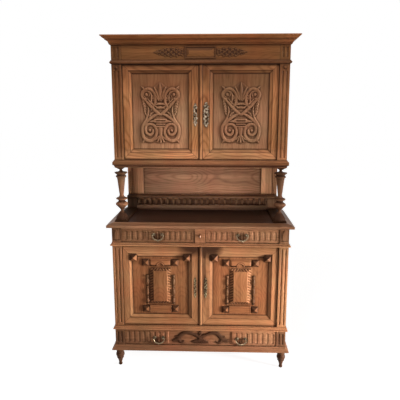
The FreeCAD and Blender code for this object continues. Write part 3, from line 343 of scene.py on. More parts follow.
def oakFinish(name, grain, tint=(1.0, 1.0, 1.0), shade=1.0, **changes):
    # waxed oak: zone tone times growth streaks, fibres and pores along the grain, dirt in corners, worn edges
    look = Look(**{**vars(oakLook), **changes})
    mat, add, calc = blankMaterial(name)
    kinds = "ADD SUBTRACT MULTIPLY DIVIDE MULTIPLY_ADD MAXIMUM GREATER_THAN"
    plus, minus, times, over, madd, most, above = (partial(calc, kind) for kind in kinds.split())
    where = add("TexCoord", out="Object")
    x, y, z = add("SeparateXYZ", {0: where}).node.outputs
    at = dict(x=x, y=y, z=z)

    def beyond(axis, middle, half):             # distance outside a span of one coordinate
        return minus(calc("ABSOLUTE", minus(at[axis], middle)), half)

    def noise(vector, scale, detail, twist=0.0):
        wires = {"Vector": vector, "Scale": scale, "Detail": detail, "Distortion": twist}
        return add("TexNoise", wires)

    def swing(value, amount):                   # a noise as 1 plus or minus an amount
        return madd(minus(value, 0.5), 2 * amount, 1.0)

    def square(value):
        return times(value, value)

    def bell(value):                            # e to the minus square
        return calc("EXPONENT", times(square(value), -1.0))

    def fade(value, start, stop, top):          # from 0 at start to top at stop
        return add("MapRange", {0: value, 1: start, 2: stop, 3: 0.0, 4: top})

    def blend(kind, factor, a, b):
        return add("Mix", {0: factor, 6: a, 7: b}, 2, data_type="RGBA", blend_type=kind)

    # grain: one direction, or two parted at a mitre or a shoulder
    ways = {axis: tuple(look.squeeze if k == axis else 1.0 for k in at) for axis in at}
    kind, *sizes = grain
    if kind in at:
        way, length = ways[kind], at[kind]
    else:
        if kind == "mitre":                     # middle and half x, middle and half z: stiles upright, rails across
            dx, dz, pair = beyond("x", *sizes[:2]), beyond("z", *sizes[2:]), "xz"
            part = above(dx, dz)
        elif kind == "shoulder":                # middle and half y: stiles beyond it, rails between
            part, pair = above(beyond("y", *sizes), 0.0), "yz"
        elif kind == "butt":                    # half x: stiles beyond it, rails between
            part, pair = above(beyond("x", 0.0, *sizes), 0.0), "xz"
        else:                                   # mould, half x and front y: along the front, back along the sides
            part = above(beyond("x", 0.0, sizes[0]), minus(sizes[1], y))
            pair = "xy"
        one, two = pair
        way = add("Mix", {0: part, 4: ways[one], 5: ways[two]}, 1, data_type="VECTOR")
        length = add("Mix", {0: part, 2: at[one], 3: at[two]})
    along = add("VectorMath", {0: where, 1: way}, operation="MULTIPLY")
    figure, fibre, pore = (noise(along, *row) for row in look.streaks)
    drift, cast = (noise(where, *row) for row in look.patches)

    # flames: rings about a heart that wanders behind each board, radius from breadth and depth
    across = minus(plus(plus(x, y), z), length)
    breadth = calc("PINGPONG", across, look.board)
    scale, span, start = look.heart
    slow = add("TexNoise", {"W": length, "Scale": scale, "Detail": 1.0}, noise_dimensions="1D")
    radius = calc("SQRT", plus(square(breadth), square(madd(slow, span, start))))
    scale, detail, sway = look.sway
    radius = madd(noise(along, scale, detail), sway, radius)
    rings = calc("SINE", times(radius, 2 * math.pi / look.ring))
    late = calc("POWER", madd(rings, 0.5, 0.5), 3.0)

    # tone: the zone's, a flat dark tone inside a moulded edge as painted shade, times the variations, redder or
    # yellower in patches
    tall, zones = look.height, look.zones
    tone = add("ValToRGB", {0: over(z, tall)})
    marks = tone.node.color_ramp.elements
    marks[0].position, marks[1].position = zones[0][0] / tall, zones[-1][0] / tall
    for height, _ in zones[1:-1]:
        marks.new(height / tall)
    for mark, (_, shown) in zip(marks, zones):
        mark.color = (*[t * k * shade for t, k in zip(shown, tint)], 1.0)
    if look.edge:                               # half x, front y and the flat dark tone inside them, painted shade
        half, front, flatShadeTone = look.edge
        off = most(beyond("x", 0.0, half), minus(front, y))
        tone = blend("MIX", above(off, 0.0), (*flatShadeTone, 1.0), tone)
    level = times(swing(figure, look.figure), swing(fibre, look.fibre))
    level = times(level, swing(drift, look.drift))
    level = times(level, madd(late, -look.flame, 1.0 + 0.3 * look.flame))
    # painted light: the sweep brightens towards the right, towards the left where it is negative
    if look.sweep:                              # lighter towards the right, by so much for each metre
        level = times(level, madd(x, look.sweep, 1.0))
    grey = add("CombineColor", {0: level, 1: calc("POWER", level, 1.12), 2: calc("POWER", level, 1.2)})
    cast = times(minus(cast, 0.5), 2 * look.hue)
    cooler = madd(cast, -0.8, 1.0)
    warm = add("CombineColor", {0: madd(cast, 0.6, 1.0), 1: cooler, 2: cooler})
    colour = blend("MULTIPLY", 1.0, blend("MULTIPLY", 1.0, tone, grey), warm)
    pores = fade(pore, *look.poreEdge, look.pores)
    colour = blend("MIX", pores, colour, look.poreTone)

    # darkening: soiling and painted shade in corners that open space hardly reaches and in the carving's own hollows,
    # hand grease, staining and painted shadow as dark patches, joints
    reached = add("AmbientOcclusion", {"Distance": look.reach}, "AO", samples=6)
    corner = fade(minus(1.0, reached), *look.cornerEdge, 1.0)
    hollow = add("Attribute", out="Fac", attribute_name="grime")
    ridge = times(most(times(hollow, -1.0), 0.0), look.ridge)
    hollow = most(hollow, 0.0)
    dirt = madd(hollow, look.soil, times(corner, look.dirt))
    for sx, sz, rx, rz, strength in look.stains:  # x, z, half sizes: an ellipse broken up by noise
        far = plus(square(over(minus(x, sx), rx)), square(over(minus(z, sz), rz)))
        blot = madd(drift, 0.9, madd(fibre, 0.5, madd(far, -1.0, 0.3)))
        dirt = plus(dirt, fade(blot, *look.stainEdge, strength))
    for cx, hx, cz, hz, wide, strength in look.lines:  # dark joint along a rectangle, fading with distance
        ink = bell(over(most(beyond("x", cx, hx), beyond("z", cz, hz)), wide))
        dirt = plus(dirt, times(ink, madd(drift, strength, 0.5 * strength)))
    if kind == "mitre":
        dirt = madd(bell(over(minus(dx, dz), look.mitre)), look.mitreDirt, dirt)
    dirt = calc("MINIMUM", dirt, look.dirtMost)
    colour = blend("MIX", dirt, colour, look.dirtTone)

    # wear: arrises rubbed lighter, where a rounded normal leaves the true one, and the carving's ridges lighter by
    # wear and painted highlight
    rounded = add("Bevel", {"Radius": look.arris}, samples=4)
    true = add("NewGeometry", out="Normal")
    turn = add("VectorMath", {0: rounded, 1: true}, "Value", operation="DOT_PRODUCT")
    rubbed = most(fade(turn, *look.arrisEdge, look.wear), ridge)
    colour = blend("MIX", times(rubbed, minus(1.0, dirt)), colour, look.rubbedTone)

    rough = madd(dirt, 0.25, madd(fibre, 0.22, look.rough - 0.08))
    relief = madd(pores, -0.6, madd(figure, 0.35, fibre))
    bump = add("Bump", {"Height": relief, "Strength": look.bump, "Distance": look.bumpDepth, "Normal": rounded})
    shader = add("BsdfPrincipled", {"Base Color": colour, "Roughness": rough, "Normal": bump,
                                    "Specular IOR Level": look.shine})
    add("OutputMaterial", {0: shader})
    return mat


def metalFinish(name, bright, dull, rough, patina, scale=140.0, start=0.0):
    # cast metal: bright rubbed tops, dull patina in hollows and by a cloudy noise, fine pitting
    mat, add, calc = blankMaterial(name)
    where = add("TexCoord", out="Object")
    cloud = add("TexNoise", {"Vector": where, "Scale": scale, "Detail": 4.0})
    pits = add("TexNoise", {"Vector": where, "Scale": 900.0, "Detail": 2.0})
    reached = add("AmbientOcclusion", {"Distance": 0.012}, "AO", samples=6)
    shut = calc("SUBTRACT", 1.0 + start, reached)
    mask = add("Math", {0: cloud, 1: patina, 2: shut}, operation="MULTIPLY_ADD", use_clamp=True)
    colour = add("Mix", {0: mask, 6: (*bright, 1.0), 7: (*dull, 1.0)}, 2, data_type="RGBA")
    rub = calc("MULTIPLY_ADD", cloud, 0.25, rough - 0.1)
    bump = add("Bump", {"Height": pits, "Strength": 0.2, "Distance": 0.0004})
    shader = add("BsdfPrincipled", {"Base Color": colour, "Roughness": rub, "Metallic": 1.0, "Normal": bump})
    add("OutputMaterial", {0: shader})
    return mat


# dark patches are (x, z, half sizes, strength), lines (middle x, half x, middle z, half z, width, strength); a sweep
# is painted light, brightening towards the right
oakFinishes = dict(
    across=dict(grain="x"),
    lowerRails=dict(grain="x", shade=1.16),
    upright=dict(grain="z"),
    posts=dict(grain="z", shade=0.84, sweep=0.2),
    lowerPosts=dict(grain="z", shade=0.8, sweep=0.2, dirt=0.4,
                    stains=[(s * 0.563, 0.23, 0.06, 0.075, 0.5) for s in both],
                    lines=[(s * 0.559, 0.025, 0.972, 0.04, 0.003, 0.85) for s in both]),
    frieze=dict(grain="x", sweep=0.2, lines=[(0.0, 0.5, 2.139, 1.0, 0.0036, 0.8)],
                stains=[(s * 0.535, 2.139, 0.034, 0.08, 0.55) for s in both]),
    friezeCarving=dict(grain="x", shade=0.7, soil=1.0, ridge=0.12),
    drawer=dict(grain="x", sweep=0.6, dirt=0.5, ridge=0.3,
                stains=[(s * 0.281, 0.955, 0.042, 0.032, 0.55) for s in both]),
    baseDrawer=dict(grain="x", shade=0.95, sweep=0.45, dirt=0.5, soil=0.84, ridge=0.3,
                    stains=[(s * 0.286, 0.212, 0.04, 0.03, 0.45) for s in both]),
    lowerBar=dict(grain="x", tint=(0.74, 0.65, 0.6), sweep=0.2),
    lowerField=dict(grain="z", tint=(0.73, 0.65, 0.6), flame=0.2, ridge=0.4, sweep=0.65),
    # the feet are darkened as painted shade
    feet=dict(grain="z", shade=0.37),
    # the side bars are near black as painted shade under the upper body
    bars=dict(grain="y", shade=0.1, shine=0.02, rough=0.6),
    # the counter's flat top is a near-black tone, painted shade of the upper body over it; its zones paint a pale
    # highlight line along the lip between darker bands
    counter=dict(grain=("mould", 0.574, -0.224), edge=(0.574, -0.224, (0.031, 0.012, 0.007)), rough=0.4,
                 zones=[(1.019, (0.18, 0.08, 0.039)), (1.023, (0.29, 0.136, 0.067)), (1.033, (0.3, 0.14, 0.07)),
                        (1.037, (0.16, 0.07, 0.034)), (1.05, (0.23, 0.104, 0.051))]),
    nichePanel=dict(grain="x", shade=0.72, flame=0.3, ring=0.013, board=0.11),
    studs=dict(grain="z", tint=(0.66, 0.58, 0.52), soil=1.0, wear=0.1),
    split=dict(grain="z", shade=0.42, wear=0.55, dirt=1.2),
    sides=dict(grain=("shoulder", 0.02, 0.18)),
    # the niche frame is brightened as painted light, a little more towards the right; the dark band along its bottom
    # rail is painted shadow behind the gallery's spindles
    niche=dict(grain=("butt", 0.446), shade=1.6, sweep=0.12, stains=[(0.0, 1.085, 1.6, 0.066, 0.9)]),
    # the gallery's rails, end blocks and spindles are darkened as painted shade in the niche; the end blocks lighten
    # towards the right as painted light
    gallery=dict(grain="x", shade=0.32),
    galleryEnd=dict(grain="z", shade=0.32, sweep=0.8),
    spindle=dict(grain="z", shade=0.31, dirt=1.4, reach=0.014),
    turning=dict(grain="z", shade=0.46, wear=0.5),
    inside=dict(grain="x", shade=0.85, dirt=0.5),
    # the pale bead's tint is a painted highlight
    glintBead=dict(grain="y", tint=(2.0, 3.2, 5.2), dirt=0.3))
finishes = {name: oakFinish("oak_" + name, **look) for name, look in oakFinishes.items()}
finishes.update(
    brass=metalFinish("antiqueBrass", (0.58, 0.42, 0.25), (0.024, 0.014, 0.008), 0.32, 1.15),
    upperPlate=metalFinish("agedPlate", (0.42, 0.315, 0.215), (0.034, 0.018, 0.01), 0.42, 4.2, 85.0, -1.65),
    lowerPlate=metalFinish("darkPlate", (0.46, 0.36, 0.2), (0.018, 0.012, 0.006), 0.46, 4.0, 85.0, -1.4),
    iron=metalFinish("darkIron", (0.09, 0.08, 0.075), (0.02, 0.018, 0.017), 0.55, 0.8))
print("finishes ready,", len(finishes))


# the frame's own nodes keep their exact normals; the finish itself eases their arrises

def nodeFrame(node):
    lo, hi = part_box(node)
    return np.array(lo), np.array(hi)


def dress(node, material):
    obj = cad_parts[node]
    obj.data.materials.clear()
    obj.data.materials.append(material)


def middles(x0, x1, z0, z1):
    # middle and half of both spans
    return (x0 + x1) / 2, (x1 - x0) / 2, (z0 + z1) / 2, (z1 - z0) / 2


# doors: breadths of the top and bottom rails, left and right stiles; darker patches of the frame
doorLook = dict(
    upper_left=((0.055, 0.069, 0.06, 0.068), [
        (-0.032, 1.755, 0.022, 0.1, 0.15), (-0.28, 1.527, 0.3, 0.015, 0.38)]),
    upper_right=((0.055, 0.069, 0.09, 0.06), [
        (0.039, 1.755, 0.026, 0.11, 0.75), (0.28, 1.527, 0.3, 0.015, 0.38), (0.25, 1.488, 0.26, 0.02, 0.32)]),
    lower_left=((0.076, 0.075, 0.064, 0.072), [
        (-0.055, 0.874, 0.125, 0.078, 1.0), (-0.03, 0.6, 0.026, 0.11, 0.3), (-0.01, 0.65, 0.01, 0.3, 0.5)]),
    lower_right=((0.076, 0.075, 0.094, 0.064), [
        (0.062, 0.872, 0.105, 0.092, 1.0), (0.038, 0.6, 0.028, 0.115, 0.35), (0.03, 0.68, 0.016, 0.3, 0.65)]))
doorFlat, meetingStrip = 0.33, 0.022            # share of a rail that its moulding takes; breadth of the strip
upperFlames = dict(flame=0.34, ring=0.013)
frameLook = dict(upper_left=dict(shade=1.23, **upperFlames), upper_right=dict(shade=1.06, sweep=0.5, **upperFlames),
                 lower_left=dict(sweep=-0.15), lower_right=dict(sweep=-0.15))
# upper panels are dull; painted light and shade make them pale towards the foot and dark towards the top
upperTones = dict(zones=[(1.5, (0.4, 0.184, 0.09)), (1.62, (0.385, 0.183, 0.092)), (1.75, (0.34, 0.163, 0.083)),
                         (1.85, (0.255, 0.114, 0.054)), (1.95, (0.175, 0.073, 0.031))],
                  figure=0.42, soil=0.54, dirt=0.55, ridge=0.32)
lowerTones = dict(tint=(0.71, 0.61, 0.56), flame=0.16, sweep=0.2)
panelLook = dict(upper_left=dict(shade=1.1, **upperTones), upper_right=dict(shade=0.92, **upperTones),
                 lower_left=lowerTones, lower_right=lowerTones)
for door, ((top, bottom, left, right), stains) in doorLook.items():
    (x0, _, z0), (x1, _, z1) = nodeFrame(door + "_door_frame")
    strip = meetingStrip if "right" in door else 0.0
    field = middles(x0 + left, x1 - right, z0 + bottom, z1 - top)
    keep = 1 - doorFlat
    flat = middles(x0 + strip + keep * (left - strip), x1 - keep * right, z0 + keep * bottom, z1 - keep * top)
    # dark joints: round the field, where the moulding leaves the flat, the door's edges, its meeting strip
    joints = [(*field, 0.0036, 0.9), (*flat, 0.002, 0.62), (*middles(x0, x1, z0, z1), 0.004, 0.7)]
    if strip:
        joints.append((x0 + strip / 2, strip / 2, (z0 + z1) / 2, 3.0, 0.0024, 0.8))
    finish = oakFinish(f"oak_{door}_door_frame", ("mitre", *field), stains=stains, lines=joints, **frameLook[door])
    dress(door + "_door_frame", finish)
    name = door + "_door_panel"
    finishes[name] = oakFinish("oak_" + name, "z", lines=joints[:1], **panelLook[door])

# mouldings: half breadth and front of the body that each runs round
upperBody, lowerBody = (0.563, -0.2), (0.59, -0.24)
corniceBands = [(2.186, (0.13, 0.044, 0.016)), (2.191, (0.39, 0.127, 0.043)), (2.198, (0.43, 0.14, 0.047)),
                (2.2, (0.14, 0.047, 0.018)), (2.203, (0.43, 0.145, 0.05)), (2.212, (0.46, 0.16, 0.054)),
                (2.2155, (0.12, 0.04, 0.015)), (2.219, (0.46, 0.16, 0.054)), (2.236, (0.46, 0.16, 0.054)),
                (2.24, (0.2, 0.07, 0.028))]
mouldings = dict(cornice=(upperBody, dict(zones=corniceBands)), architrave_moulding=(upperBody, {}),
                 upper_base_moulding=(upperBody, dict(shade=1.18)), band_mouldings=(lowerBody, dict(shade=1.2)),
                 plinth_moulding=(lowerBody, {}))
for node, (body, look) in mouldings.items():
    dress(node, oakFinish("oak_" + node, ("mould", *body), **look))

dressing = dict(
    across="upper_front_rails",
    lowerRails="lower_front_rails",
    posts="upper_pilasters",
    lowerPosts="lower_pilasters",
    lower_left_door_panel="lower_left_door_panel",
    lower_right_door_panel="lower_right_door_panel",
    bars="column_plinths",
    frieze="frieze",
    sides="upper_side_frames lower_side_frames",
    upright="upper_side_panels lower_side_panels upper_back_boards lower_back_boards",
    niche="niche_back_frame",
    nichePanel="niche_back_panel",
    gallery="gallery_rails",
    spindle="gallery_spindles",
    feet="feet",
    counter="counter_top",
    inside="upper_shelves lower_shelves drawer_runners left_drawer_box right_drawer_box base_drawer_box",
    iron="door_pivot_pins upper_lock lower_lock upper_lock_bolt lower_lock_bolt")
for finish, nodes in dressing.items():
    for node in nodes.split():
        dress(node, finishes[finish])
print("frame nodes dressed")


# carved panels of the upper doors

def arc(cx, cz, r, start, stop, count=9):
    # points of a circle between two angles in degrees
    return [(cx + r * math.cos(a), cz + r * math.sin(a)) for a in np.radians(np.linspace(start, stop, count))]


doorSink = 0.013                                # from a door's face to its panel's
upperCarving = Look(
    step=0.0016, tongue=0.009, thick=0.0065, rise=0.0112, groundRise=0.0036, groundEdge=0.004, spread=1.12,
    # half breadth of the motif's low ground at each height, in millimetres from the field's middle
    ground=[(-200, 0), (-196, 30), (-188, 98), (-150, 121), (-104, 122), (-74, 108), (-40, 92), (-8, 98), (50, 108),
            (80, 116), (100, 120), (136, 108), (146, 78), (152, 44), (178, 14), (184, 0)],
    # one half in millimetres from the field's middle: cut, lobes, half widths, points
    strands=[
        ("full", 0, (8, 9, 10, 10, 9, 8), [
            (48, 28), (32, 62), (33, 104), (48, 129), (72, 143), (98, 137), (115, 119), (117, 99), (108, 84),
            (94, 80)]),
        ("round", 0, (3, 5, 5, 4), arc(88, 109, 19, -70, 215)),
        ("round", 0, (4, 6, 6, 4), [(62, 52), (56, 80), (57, 105), (66, 124), (82, 130)]),
        ("full", 0, (4, 10, 11, 11, 9), [(107, 80), (85, 62), (58, 32), (30, 4), (6, -16)]),
        ("round", 0, (4, 6, 5), [(81, 80), (48, 47), (8, 22)]),
        ("leaf", 7, (8, 11, 10, 8, 2), [(110, 78), (105, 50), (99, 20), (96, -10), (84, -30)]),
        ("round", 0, (3, 6, 7, 5), [(80, 32), (78, 6), (84, -28), (98, -56)]),
        ("full", 0, (5, 10, 11, 11, 10, 10, 9.5, 9, 8), [
            (85, -38), (107, -75), (118, -104), (116, -148), (100, -176), (70, -184), (42, -170), (27, -137),
            (31, -104), (48, -83), (70, -77), (92, -86), (99, -111), (92, -136), (70, -147), (53, -137), (49, -119)]),
        ("full", 0, (6, 10, 11, 10), [(10, -12), (40, -24), (76, -50), (107, -82)]),
        ("plate", 0, (11, 8, 2), [(38, -60), (54, -60), (72, -62)]),
        ("leaf", 3, (2, 9, 3), [(94, -172), (107, -184), (117, -195)]),
        ("leaf", 3, (2, 8, 2), [(100, 138), (112, 150), (120, 160)]),
        ("round", 0, (2, 12, 14, 9, 1), [(0, 66), (0, 184)]),
        ("round", 0, (3, 8, 10, 7, 2), [(6, 78), (20, 116), (38, 156)]),
        ("round", 0, (2, 7, 8, 5, 2), [(6, 66), (22, 92), (46, 128)]),
        ("round", 0, (4, 7, 8, 3), [(2, -154), (0, -199)]),
        ("round", 0, (3, 6, 7, 3), [(7, -154), (14, -174), (21, -193)]),
        ("round", 0, (3, 5, 6, 3), [(11, -153), (24, -168), (37, -181)]),
        ("round", 0, (7, 7), [(0, -50), (37, -50)]),
        ("round", 0, (6.5, 6.5), [(0, -79), (27, -79)]),
        ("round", 0, (7, 7), [(0, -94), (26, -94)]),
        ("round", 0, (20, 17, 14, 10), [(0, -110), (0, -150)]),
        ("round", 0, (6.5, 6.5), [(0, -65), (32, -65)]),
        ("full", 0, (9, 8, 5), [(0, 28), (12, 27), (24, 24)]),
        ("full", 0, (9, 8, 5), [(0, 50), (14, 49), (28, 45)]),
        ("leaf", 4, (3, 9, 9, 3), [(20, 54), (34, 66), (44, 84), (48, 104)]),
        ("leaf", 4, (3, 8, 8, 2), [(40, 2), (54, -8), (66, -22), (72, -40)])],
    # x, z, radius; round each knob the carving keeps below a share of its rise, out to so many radii
    knobs=[(88, 109, 14), (71, -119, 10), (57, 12, 6)], moat=0.75, moatReach=1.35,
    # soiling and painted shade: cells and depth of a hollow, share on all that is raised, height that counts as raised
    hollow=(4.0, 0.0036), raisedDirt=0.4, raised=0.003,
    # cells of softening; cells, seed and size of the hand-cut unevenness
    soft=0.7, uneven=(6.0, 3, 0.00016))


def doorFace(row):
    return nodeFrame(f"{row}_left_door_frame")[0][1]


def upperPanel(side):
    # height field: mirrored strands over a low ground, softened, hollows kept as soiling and painted shade, ridges as
    # wear and painted highlight
    look, name = upperCarving, f"upper_{side}_door_panel"
    lo, hi = nodeFrame(name)
    face = doorFace("upper") + doorSink
    x, z = (evenly(lo[k], hi[k], look.step) for k in (0, 2))
    gx, gz = np.meshgrid(np.abs(x - (lo[0] + hi[0]) / 2), z - (lo[2] + hi[2]) / 2)
    levels, halves = np.array(look.ground).T * mm
    height = look.groundRise * unit((np.interp(gz, levels, halves) - gx) / look.groundEdge)
    carve(height, gx, gz, look.strands, look.rise, look.spread)
    for kx, kz, r in look.knobs:
        q = np.hypot(gx - kx * mm, gz - kz * mm) / (r * mm)
        ball = dome(q) * look.rise
        moat = np.minimum(height, look.rise * look.moat)
        height = np.where(q < 1, ball, np.where(q < look.moatReach, moat, height))
    raised = unit(height / look.raised)
    # soiling and painted shade in the hollows, darkening on all that is raised, ridges lighter by wear and painted
    # highlight where the value is negative
    grime = np.clip(cavities(height, *look.hollow) + look.raisedDirt * raised, -1, 1)
    height = softly(height, look.soft) + unevenness(height.shape, *look.uneven)
    front = face - np.clip(height, -0.0004, look.rise + 0.0003)
    edge = np.minimum(np.minimum(x - lo[0], hi[0] - x)[None], np.minimum(z - lo[2], hi[2] - z)[:, None])
    front = np.where(edge < look.tongue, face, front)
    patch, dirt = reliefSheet(x, z, front, face + look.thick, grime)
    piece(name + "_carving", [patch], f"upper_{side}_door", name, name, sharp=60, grime=dirt)


for side in ("left", "right"):
    upperPanel(side)
print("upper panels carved")


# applied ornaments of the lower doors

lowerOrnament = Look(
    tongue=0.009, stud=0.0225, studX=0.009, studZ=0.006, studSteps=[(0, 0), (0.8, 14), (8, 20), (22.5, 28)],
    boss=0.024, bossX=0.1, bossTop=0.041, bossLow=0.039, bossSteps=[(0, 0), (0.8, 3), (7, 9), (24, 16)],
    # painted shade of the lower, right, upper and left facets: walls, outer ring, inner point; darkest above and to
    # the left, lightest to the right
    studSoot=[(0.6, 0.3, 1.0, 1.0), (0.4, 0.15, 1.0, 1.0), (0.45, 0.0, 0.95, 1.0)],
    bossSoot=[(1.0, 0.8, 1.0, 1.0), (0.9, 0.45, 1.0, 1.0), (0.7, 0.12, 0.75, 0.8)],
    barHalf=0.074, barLow=(0.41, 0.462), barSteps=[(0, 0), (0, 6.5), (1.5, 8), (6, 8), (7.5, 7), (9, 7)],
    spindleX=0.09, spindleFoot=0.472,
    # half turned spindle: rows of (radius, height), or an arc through the first pair, in millimetres
    spindle=[(0.0, 0.0), (10, 0.0), (10, 6), (4, 8), (4, 11), (10, 15, 10.5, 24), (9, 36, 4.5, 46), (3.5, 50),
             (9, 52, 9, 56), (3.5, 58), (4, 62), (9, 74, 10.5, 92), (8, 108, 4, 118), (3.5, 122), (9, 124, 9, 129),
             (3.5, 131), (4, 135), (9, 146, 10.5, 162), (9, 176, 4, 187), (3.5, 190), (10, 193), (10, 208), (0, 208)])
fieldLook = Look(step=0.0011, half=0.08, low=0.472, high=0.735, slope=0.034, slopeEnd=0.024, rise=0.0118,
                 leafCut=0.005, pitch=0.019, least=0.0006, rear=0.0005, hollow=(3.5, 0.002))
lintelLook = Look(step=0.001, half=0.074, low=0.745, high=0.797, rise=0.008, arch=0.024, ring=0.006, bevel=0.012,
                  groove=(0.004, 0.0026), seam=(0.0062, 0.0022), foot=0.0045, least=0.0005, rear=0.0005)


def raisedField(cx, base):
    # height field: flat middle, four slopes falling outwards, each cut into oblique overlapping leaflets
    look = fieldLook
    x = evenly(cx - look.half, cx + look.half, look.step)
    z = evenly(look.low, look.high, look.step)
    gx, gz = np.meshgrid(x - cx, z - (look.low + look.high) / 2)
    fromSide = (look.half - np.abs(gx)) / look.slope
    fromEnd = ((look.high - look.low) / 2 - np.abs(gz)) / look.slopeEnd
    side = fromSide < fromEnd
    breadth = np.where(side, fromSide, fromEnd)
    up = unit(breadth)
    along = np.where(side, gz, np.abs(gx)) / look.pitch
    phase = (along - 0.9 * breadth) % 1.0
    leaf = np.sin(math.pi * phase) ** 0.6 * (0.5 + 0.5 * phase)
    mask = unit((1 - up) / 0.06) * unit(up / 0.1)
    scallop = unit((breadth - 0.86 - 0.1 * leaf) / 0.05)
    height = look.rise * up - look.leafCut * mask * (1 - leaf) * (1 - scallop)
    height = np.maximum(softly(height, 0.6), look.least)
    # painted shade: the leaflets on the left, lower and upper slopes are darkened, those on the right slope are not;
    # the hollows between leaflets darken with soiling and painted shade
    rub = np.where(side, np.where(gx < 0, 0.55, 0.0), np.where(gz < 0, 0.6, 0.55))
    grime = np.clip(cavities(height, *look.hollow) * mask + rub * mask, -1, 1)
    return reliefSheet(x, z, base - height, base + look.rear, grime)


def archedLintel(cx, base):
    # thin board with a groove above its lower edge, where a half ring stands round a shallow dish
    look = lintelLook
    half, low, high, rise, arch = look.half, look.low, look.high, look.rise, look.arch
    x, z = evenly(cx - half, cx + half, look.step), evenly(low, high, look.step)
    gx, gz = np.meshgrid(x - cx, z - low)
    edge = np.minimum(half - np.abs(gx), high - low - gz)
    r = np.hypot(gx, gz)
    level, wide = look.groove
    groove = hump((gz - level) / wide) * (r > arch)
    board = rise * np.clip(edge / look.bevel, 0.2, 1) - 0.75 * rise * groove
    dish = rise * (0.35 + 0.25 * unit(r / arch) ** 2)
    rim = rise * 1.25 * dome((r - arch) / look.ring)
    height = softly(np.maximum(np.where(r < arch, dish, board), rim), 0.8)
    away, wide = look.seam
    seam = hump((np.abs(r - arch) - away) / wide)
    foot = hump(gz / look.foot) * (r > arch)
    # soiling and painted shade along the groove and round the ring, painted shadow along the board's lower edge
    grime = unit(np.maximum.reduce([groove, 0.9 * seam, foot]))
    return reliefSheet(x, z, base - np.maximum(height, look.least), base + look.rear, grime)


def lowerDoor(side):
    look, tag, body = lowerOrnament, f"lower_{side}", f"lower_{side}_door"
    lo, hi = nodeFrame(body + "_panel")
    lo, hi = lo + look.tongue, hi - look.tongue
    cx, face = (lo[0] + hi[0]) / 2, doorFace("lower") + doorSink
    studs = [steppedBlock(x, hi[2] - look.studZ, look.stud, look.stud, face, look.studSteps)
             for x in (lo[0] + look.studX, hi[0] - look.studX)]
    bosses = [steppedBlock(cx + s * look.bossX, z, look.boss, look.boss, face, look.bossSteps)
              for s in both for z in (hi[2] - look.bossTop, lo[2] + look.bossLow)]
    # painted shade on the facets of the studs and bosses
    soot = np.concatenate([facetShadeList(look.studSoot)] * 2 + [facetShadeList(look.bossSoot)] * 4)
    piece(tag + "_studs", studs + bosses, body, "studs", body + "_ornament", sharp=8, grime=soot, domain="FACE")
    z0, z1 = look.barLow
    bar = steppedBlock(cx, (z0 + z1) / 2, look.barHalf, (z1 - z0) / 2, face, look.barSteps)
    piece(tag + "_bar", [bar], body, "lowerBar", sharp=20)
    patch, dirt = archedLintel(cx, face)
    piece(tag + "_lintel", [patch], body, "lowerBar", sharp=60, grime=dirt)
    patch, dirt = raisedField(cx, face)
    piece(tag + "_raised_field", [patch], body, "lowerField", sharp=60, grime=dirt)
    halves = [turned(metres(look.spindle), (cx + s * look.spindleX, face, look.spindleFoot), "z", 25,
                     (math.pi, 2 * math.pi)) for s in both]
    piece(tag + "_split_spindles", halves, body, "split", sharp=35)


for side in ("left", "right"):
    lowerDoor(side)
print("lower door ornaments set")


# tablet and leaf sprays of the frieze

friezeLook = Look(
    half=0.097, gap=0.005, length=0.193, width=0.062, step=0.001, rise=0.0048, groundRise=0.0012, hidden=0.0004,
    steps=[(0, 0), (0.4, 5), (5.5, 5), (8, 1.5), (10, 1.5), (26, 4.8)],
    # painted shade of each ring's lower, right, upper and left facets
    soot=[(1, 1, 1, 1), (0.2, 0.7, 0.4, 0.8), (0.8, 0.6, 0.9, 0.9), (0.8, 0.6, 1, 1), (0, 0.1, 0.65, 0.6)],
    # lumps of one spray: distance from the tablet, height, radius, in millimetres; the radii are spread
    lumps=[(10, 15, 9), (12, -15, 9), (8, 0, 8), (27, 10, 10), (29, -10, 10), (43, 22, 8), (45, -22, 8),
           (48, 2, 11), (62, 15, 11), (64, -15, 11), (80, 0, 11), (80, 25, 6), (82, -25, 6), (97, 14, 11),
           (99, -14, 11), (115, 0, 11), (117, 21, 7), (119, -21, 7), (132, 11, 10), (134, -11, 10), (150, 1, 10),
           (152, 15, 5), (154, -14, 5), (166, 6, 7), (167, -6, 7)], spread=1.18,
    tip=("round", 0, (7, 6, 1), [(158, 0), (176, 1), (191, 0)]),
    # the spray's lens-shaped ground in millimetres: middle, half length, half width, edge
    lens=(76, 104, 25, 4), hollow=(4.0, 0.0022))


